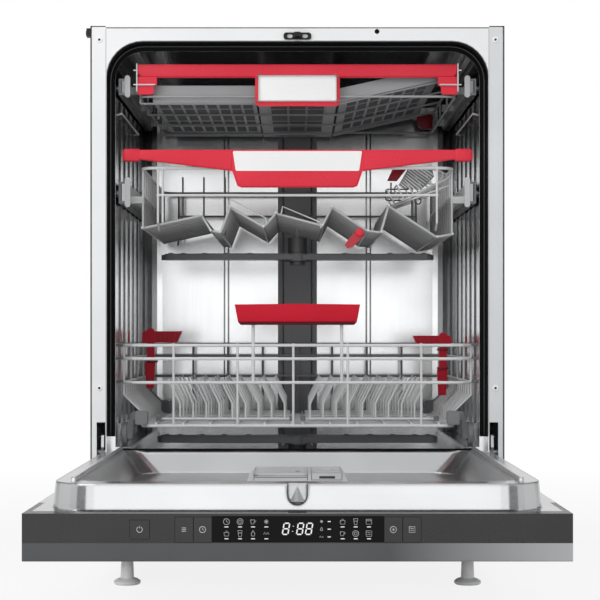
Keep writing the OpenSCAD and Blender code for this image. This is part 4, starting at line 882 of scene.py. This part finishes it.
# %% Guide rods
ROD_Z, WALL_X, ROD_X = 696, 265.5, 257
guide_rods = [
    [at(side * x, y, ROD_Z) for x, y in ((WALL_X, 50), (ROD_X, 34), (ROD_X, 278), (WALL_X, 290))]
    for side in (-1, 1)
]
done(wire(guide_rods, 3.4), "tub_guide_rods", "cabinet", plate_abs, WIRE_ANGLE)

# %% [markdown]
# ## Red plate rests
# The two red rests in the lower rack are moulded with thin ribs under the arm and two collars on
# the post. The ribs are spread over the arm's reach, and the collars sit below the arm and near
# the foot.


# %% Ribs and collars
def rest_trim(side, post_x, bar_end, bar_z, foot_z):
    pieces = []
    for k in range(5):
        rib_x = post_x + (bar_end - post_x) * (0.24 + 0.15 * k)
        low, high = at(rib_x - 0.8, 240.2, bar_z + 2), at(rib_x + 0.8, 241.2, bar_z + 16)
        pieces.append(slab(low, high, 0.2, 1))
    for level in (bar_z - 4, foot_z + 43):
        low, high = at(post_x - 8.5, 241.5, level - 2), at(post_x + 8.5, 258.5, level + 2)
        pieces.append(slab(low, high, 0.6, 2))
    done(joined(pieces), side + "_rest_trim", "lower_rack", deep_edge, MOULD_ANGLE)


rest_trim("left", -232, -184, 360, 287)
rest_trim("right", 232, 184, 353, 276)

# %% [markdown]
# ## Dispenser
# The lid and the flap are pale mouldings, and the shade in the gaps round them is painted as thin
# dark strips that lie in the gap. The rim of the lid's finger groove is painted dark as shade, and
# its button is a small dark disc.

# %% Dispenser gaps
gap_grey = surface("shadow_grey_abs", "3c3d3f", "464749", 0.4, SMOOTH, 0.004, specular=0.25)


def door_slab(low, high):
    """Returns a strip between two places on the door, which the open door turns round."""
    corners = list(zip(door_at(*low), door_at(*high)))
    return slab(Vector([min(c) for c in corners]), Vector([max(c) for c in corners]), 0.2, 1)


# Painted shade: dark strips in the gaps round the lid and the flap.
gaps = [
    door_slab((x - 0.4, -4.0, 300), (x + 0.4, 5.15, 408.7)) for x in (-57.9, 13.4, 18.8, 59.2)
]
gaps.append(door_slab((-57.5, -0.2, 408.4), (13, 0.6, 408.75)))
gaps.append(door_slab((29, -1.5, 408.3), (50, 1.8, 408.8)))
gaps.append(door_slab((19.5, -3.6, 408.4), (58.5, -3.0, 408.75)))
done(joined(gaps), "dispenser_gaps", "door", gap_grey)

GROOVE = ((-32, 370.8), (-6, 370.8), (-4.4, 374), (-6, 377.2), (-32, 377.2), (-33.6, 374))
# Painted shade round the groove's rim.
groove = [door_at(x, 4.35, z) for x, z in GROOVE + GROOVE[:1]]
done(wire([groove], 0.7), "lid_groove_rim", "detergent_lid", gap_grey, WIRE_ANGLE)
button = disc(door_at(0.5, 5.3, 372), 2.6, 0.8, 20, turned=0)
modify(button, "BEVEL", width=0.3 * MM, segments=2, angle_limit=math.radians(BEVEL_ANGLE))
done(button, "lid_button", "detergent_lid", gap_grey, MOULD_ANGLE)

# %% [markdown]
# ## Catch guide
# In the middle of the door's upper wall is the pocket that the catch enters. A three-sided wedge
# in it guides the catch, and the shade at the pocket's rim is painted as a dark wire. The wedge
# starts as a cone with three sides, whose corners and tip are then put in place.

# %% Catch guide
bpy.ops.object.select_all(action="DESELECT")
bpy.ops.mesh.primitive_cone_add(vertices=3, radius1=1, depth=1, location=(0, 0, 0))
wedge = bpy.context.active_object
for vertex in wedge.data.vertices:
    if vertex.co.z > 0:
        vertex.co = door_at(0, 6.5, 791.5)
    elif vertex.co.y > 0:
        vertex.co = door_at(0, 23, 783.2)
    else:
        vertex.co = door_at(math.copysign(8.2, vertex.co.x), 5, 783.2)
choose(wedge)
bpy.ops.object.mode_set(mode="EDIT")
bpy.ops.mesh.select_all(action="SELECT")
bpy.ops.mesh.normals_make_consistent(inside=False)
bpy.ops.object.mode_set(mode="OBJECT")
done(wedge, "catch_wedge", "door", lid_abs)

# Painted shade: the dark wire round the pocket's rim.
RIM_RADIUS, RIM_Y, RIM_TOP, RIM_Z = 10.8, 14, 25.5, 794.3
arc = [math.pi * (1 + k / 10) for k in range(1, 10)]
rim = [door_at(-RIM_RADIUS, y, RIM_Z) for y in (RIM_TOP, RIM_Y)]
rim += [door_at(RIM_RADIUS * math.cos(a), RIM_Y + RIM_RADIUS * math.sin(a), RIM_Z) for a in arc]
rim += [door_at(RIM_RADIUS, y, RIM_Z) for y in (RIM_Y, RIM_TOP)]
done(wire([rim], 1.0), "catch_pocket_rim", "door", gap_grey, WIRE_ANGLE)

# %% [markdown]
# ## Camera
# The camera stands level, well in front and a little above the open door. Its view is shifted up
# instead of tilted, so that the cabinet's sides stay parallel.

# %% Camera
camera = bpy.data.objects.new("camera", bpy.data.cameras.new("camera"))
bpy.context.scene.collection.objects.link(camera)
camera.location = (0, -2.309, 0.368)
camera.rotation_euler = (math.radians(90), 0, 0)
camera.data.sensor_width = 36
camera.data.lens = 97.8
camera.data.shift_x = 0.0043
camera.data.shift_y = 0.0625
camera.data.clip_end = 50
bpy.context.scene.camera = camera
print("camera looks along +Y from", tuple(camera.location))


# %% [markdown]
# ## Lamps
# Large soft lamps on both sides, above and in front act as a product studio's soft boxes, the
# left one stronger than the right. The one above would show as a white patch in the sheet, so
# mirrors miss it.

# %% Lamps
def soft_box(name, place, aim, size, power):
    lamp = bpy.data.objects.new(name, bpy.data.lights.new(name, "AREA"))
    lamp.data.shape = "RECTANGLE"
    lamp.data.size, lamp.data.size_y = size
    lamp.data.energy = power
    lamp.location = place
    lamp.rotation_euler = (Vector(aim) - Vector(place)).to_track_quat("-Z", "Y").to_euler()
    bpy.context.scene.collection.objects.link(lamp)
    print(name, "has", power, "W")
    return lamp


soft_box("left_box", (-1.4, -1.7, 1.5), (0, 0.2, 0.4), (1.4, 1.4), 18)
soft_box("right_box", (2.2, -2.0, 1.4), (0, 0.2, 0.4), (1.2, 1.2), 5)
top_box = soft_box("top_box", (0, -0.9, 2.6), (0, -0.2, 0.3), (1.8, 1.4), 12)
top_box.visible_glossy = False
soft_box("front_box", (0, -3.2, 0.9), (0, 0.5, 0.45), (3.0, 2.0), 14)

# %% [markdown]
# ## Room
# Ground steel mirrors the room, so the room shapes the metal more than the lamps do. Seen
# directly, it is plain white. In mirrors it is pale ahead and behind, falls off to a dark tone
# towards the sides, and has a pale wall at the far sides, which draws the edges of the sheet. To
# matt faces it is a dim grey.

# %% World
PALE_ROOM, DARK_ROOM, SIDE_WALL, DIM_ROOM = 0.93, 0.12, 0.9, 0.35
WHITE = (1, 1, 1, 1)
world = bpy.data.worlds.new("studio")
bpy.context.scene.world = world
world.use_nodes = True
room_tree = world.node_tree
room_tree.nodes.clear()
ray = add(room_tree, "ShaderNodeLightPath").outputs
seen = add(
    room_tree, "ShaderNodeMath", {"operation": "MAXIMUM"},
    i0=ray["Is Camera Ray"], i1=ray["Is Transmission Ray"],
).outputs[0]
heading = add(room_tree, "ShaderNodeTexCoord").outputs["Generated"]
sideways = add(room_tree, "ShaderNodeSeparateXYZ", Vector=heading).outputs["X"]
sideways = add(room_tree, "ShaderNodeMath", {"operation": "ABSOLUTE"}, i0=sideways).outputs[0]
ahead = add(
    room_tree, "ShaderNodeMapRange",
    Value=sideways, From_Min=0.25, From_Max=0.6, To_Min=PALE_ROOM, To_Max=DARK_ROOM,
)
wall = add(
    room_tree, "ShaderNodeMapRange",
    Value=sideways, From_Min=0.72, From_Max=0.9, To_Min=0.0, To_Max=SIDE_WALL,
)
room = add(
    room_tree, "ShaderNodeMath", {"operation": "MAXIMUM"}, i0=ahead.outputs[0], i1=wall.outputs[0]
)
dim = add(room_tree, "ShaderNodeBackground", Color=WHITE, Strength=DIM_ROOM)
studio = add(room_tree, "ShaderNodeBackground", Color=WHITE, Strength=room.outputs[0])
plain = add(room_tree, "ShaderNodeBackground", Color=WHITE, Strength=1.0)
unseen = add(
    room_tree, "ShaderNodeMixShader",
    i0=ray["Is Glossy Ray"], i1=dim.outputs[0], i2=studio.outputs[0],
)
sky = add(
    room_tree, "ShaderNodeMixShader", i0=seen, i1=unseen.outputs[0], i2=plain.outputs[0]
)
add(room_tree, "ShaderNodeOutputWorld", Surface=sky.outputs[0])
print("world nodes:", len(room_tree.nodes))

# %% [markdown]
# ## Floor
# The floor is a pale matt sheet that runs into the white of the room. It glows for the camera, a
# little less near the machine, so that only a soft shadow shows there. Mirrors see three quarters
# of that glow, which keeps the bends of the door's sheet from turning black.

# %% Floor
GLOSSY_SHARE, NEAR_SHARE = 0.75, 0.86
bpy.ops.object.select_all(action="DESELECT")
bpy.ops.mesh.primitive_plane_add(size=80, location=(0, 0, -0.5 * MM))
floor = bpy.context.active_object
floor.name = "floor"
pale_floor = surface("pale_floor", "f0f0f0", "f4f4f4", 0.8, (3, 3, 3), 0.01)
floor_tree = pale_floor.node_tree
ends = {node.type: node for node in floor_tree.nodes}
floor_glow = add(floor_tree, "ShaderNodeEmission", Color=WHITE, Strength=1.0)
floor_ray = add(floor_tree, "ShaderNodeLightPath").outputs
spot = add(floor_tree, "ShaderNodeTexCoord").outputs["Object"]
away = add(floor_tree, "ShaderNodeVectorMath", {"operation": "LENGTH"}, i0=spot).outputs["Value"]
fade = add(
    floor_tree, "ShaderNodeMapRange",
    Value=away, From_Min=0.8, From_Max=2.4, To_Min=NEAR_SHARE, To_Max=1.0,
)
mirrors = add(
    floor_tree, "ShaderNodeMath", {"operation": "MULTIPLY"},
    i0=floor_ray["Is Glossy Ray"], i1=GLOSSY_SHARE,
)
viewers = add(
    floor_tree, "ShaderNodeMath", {"operation": "MAXIMUM"},
    i0=floor_ray["Is Camera Ray"], i1=mirrors.outputs[0],
)
share = add(
    floor_tree, "ShaderNodeMath", {"operation": "MULTIPLY"},
    i0=viewers.outputs[0], i1=fade.outputs[0],
)
blend = add(
    floor_tree, "ShaderNodeMixShader",
    i0=share.outputs[0], i1=ends["BSDF_PRINCIPLED"].outputs[0], i2=floor_glow.outputs[0],
)
floor_tree.links.new(blend.outputs[0], ends["OUTPUT_MATERIAL"].inputs["Surface"])
floor.data.materials.append(pale_floor)
bpy.context.scene.view_settings.view_transform = "Standard"
print("floor nodes:", len(floor_tree.nodes))
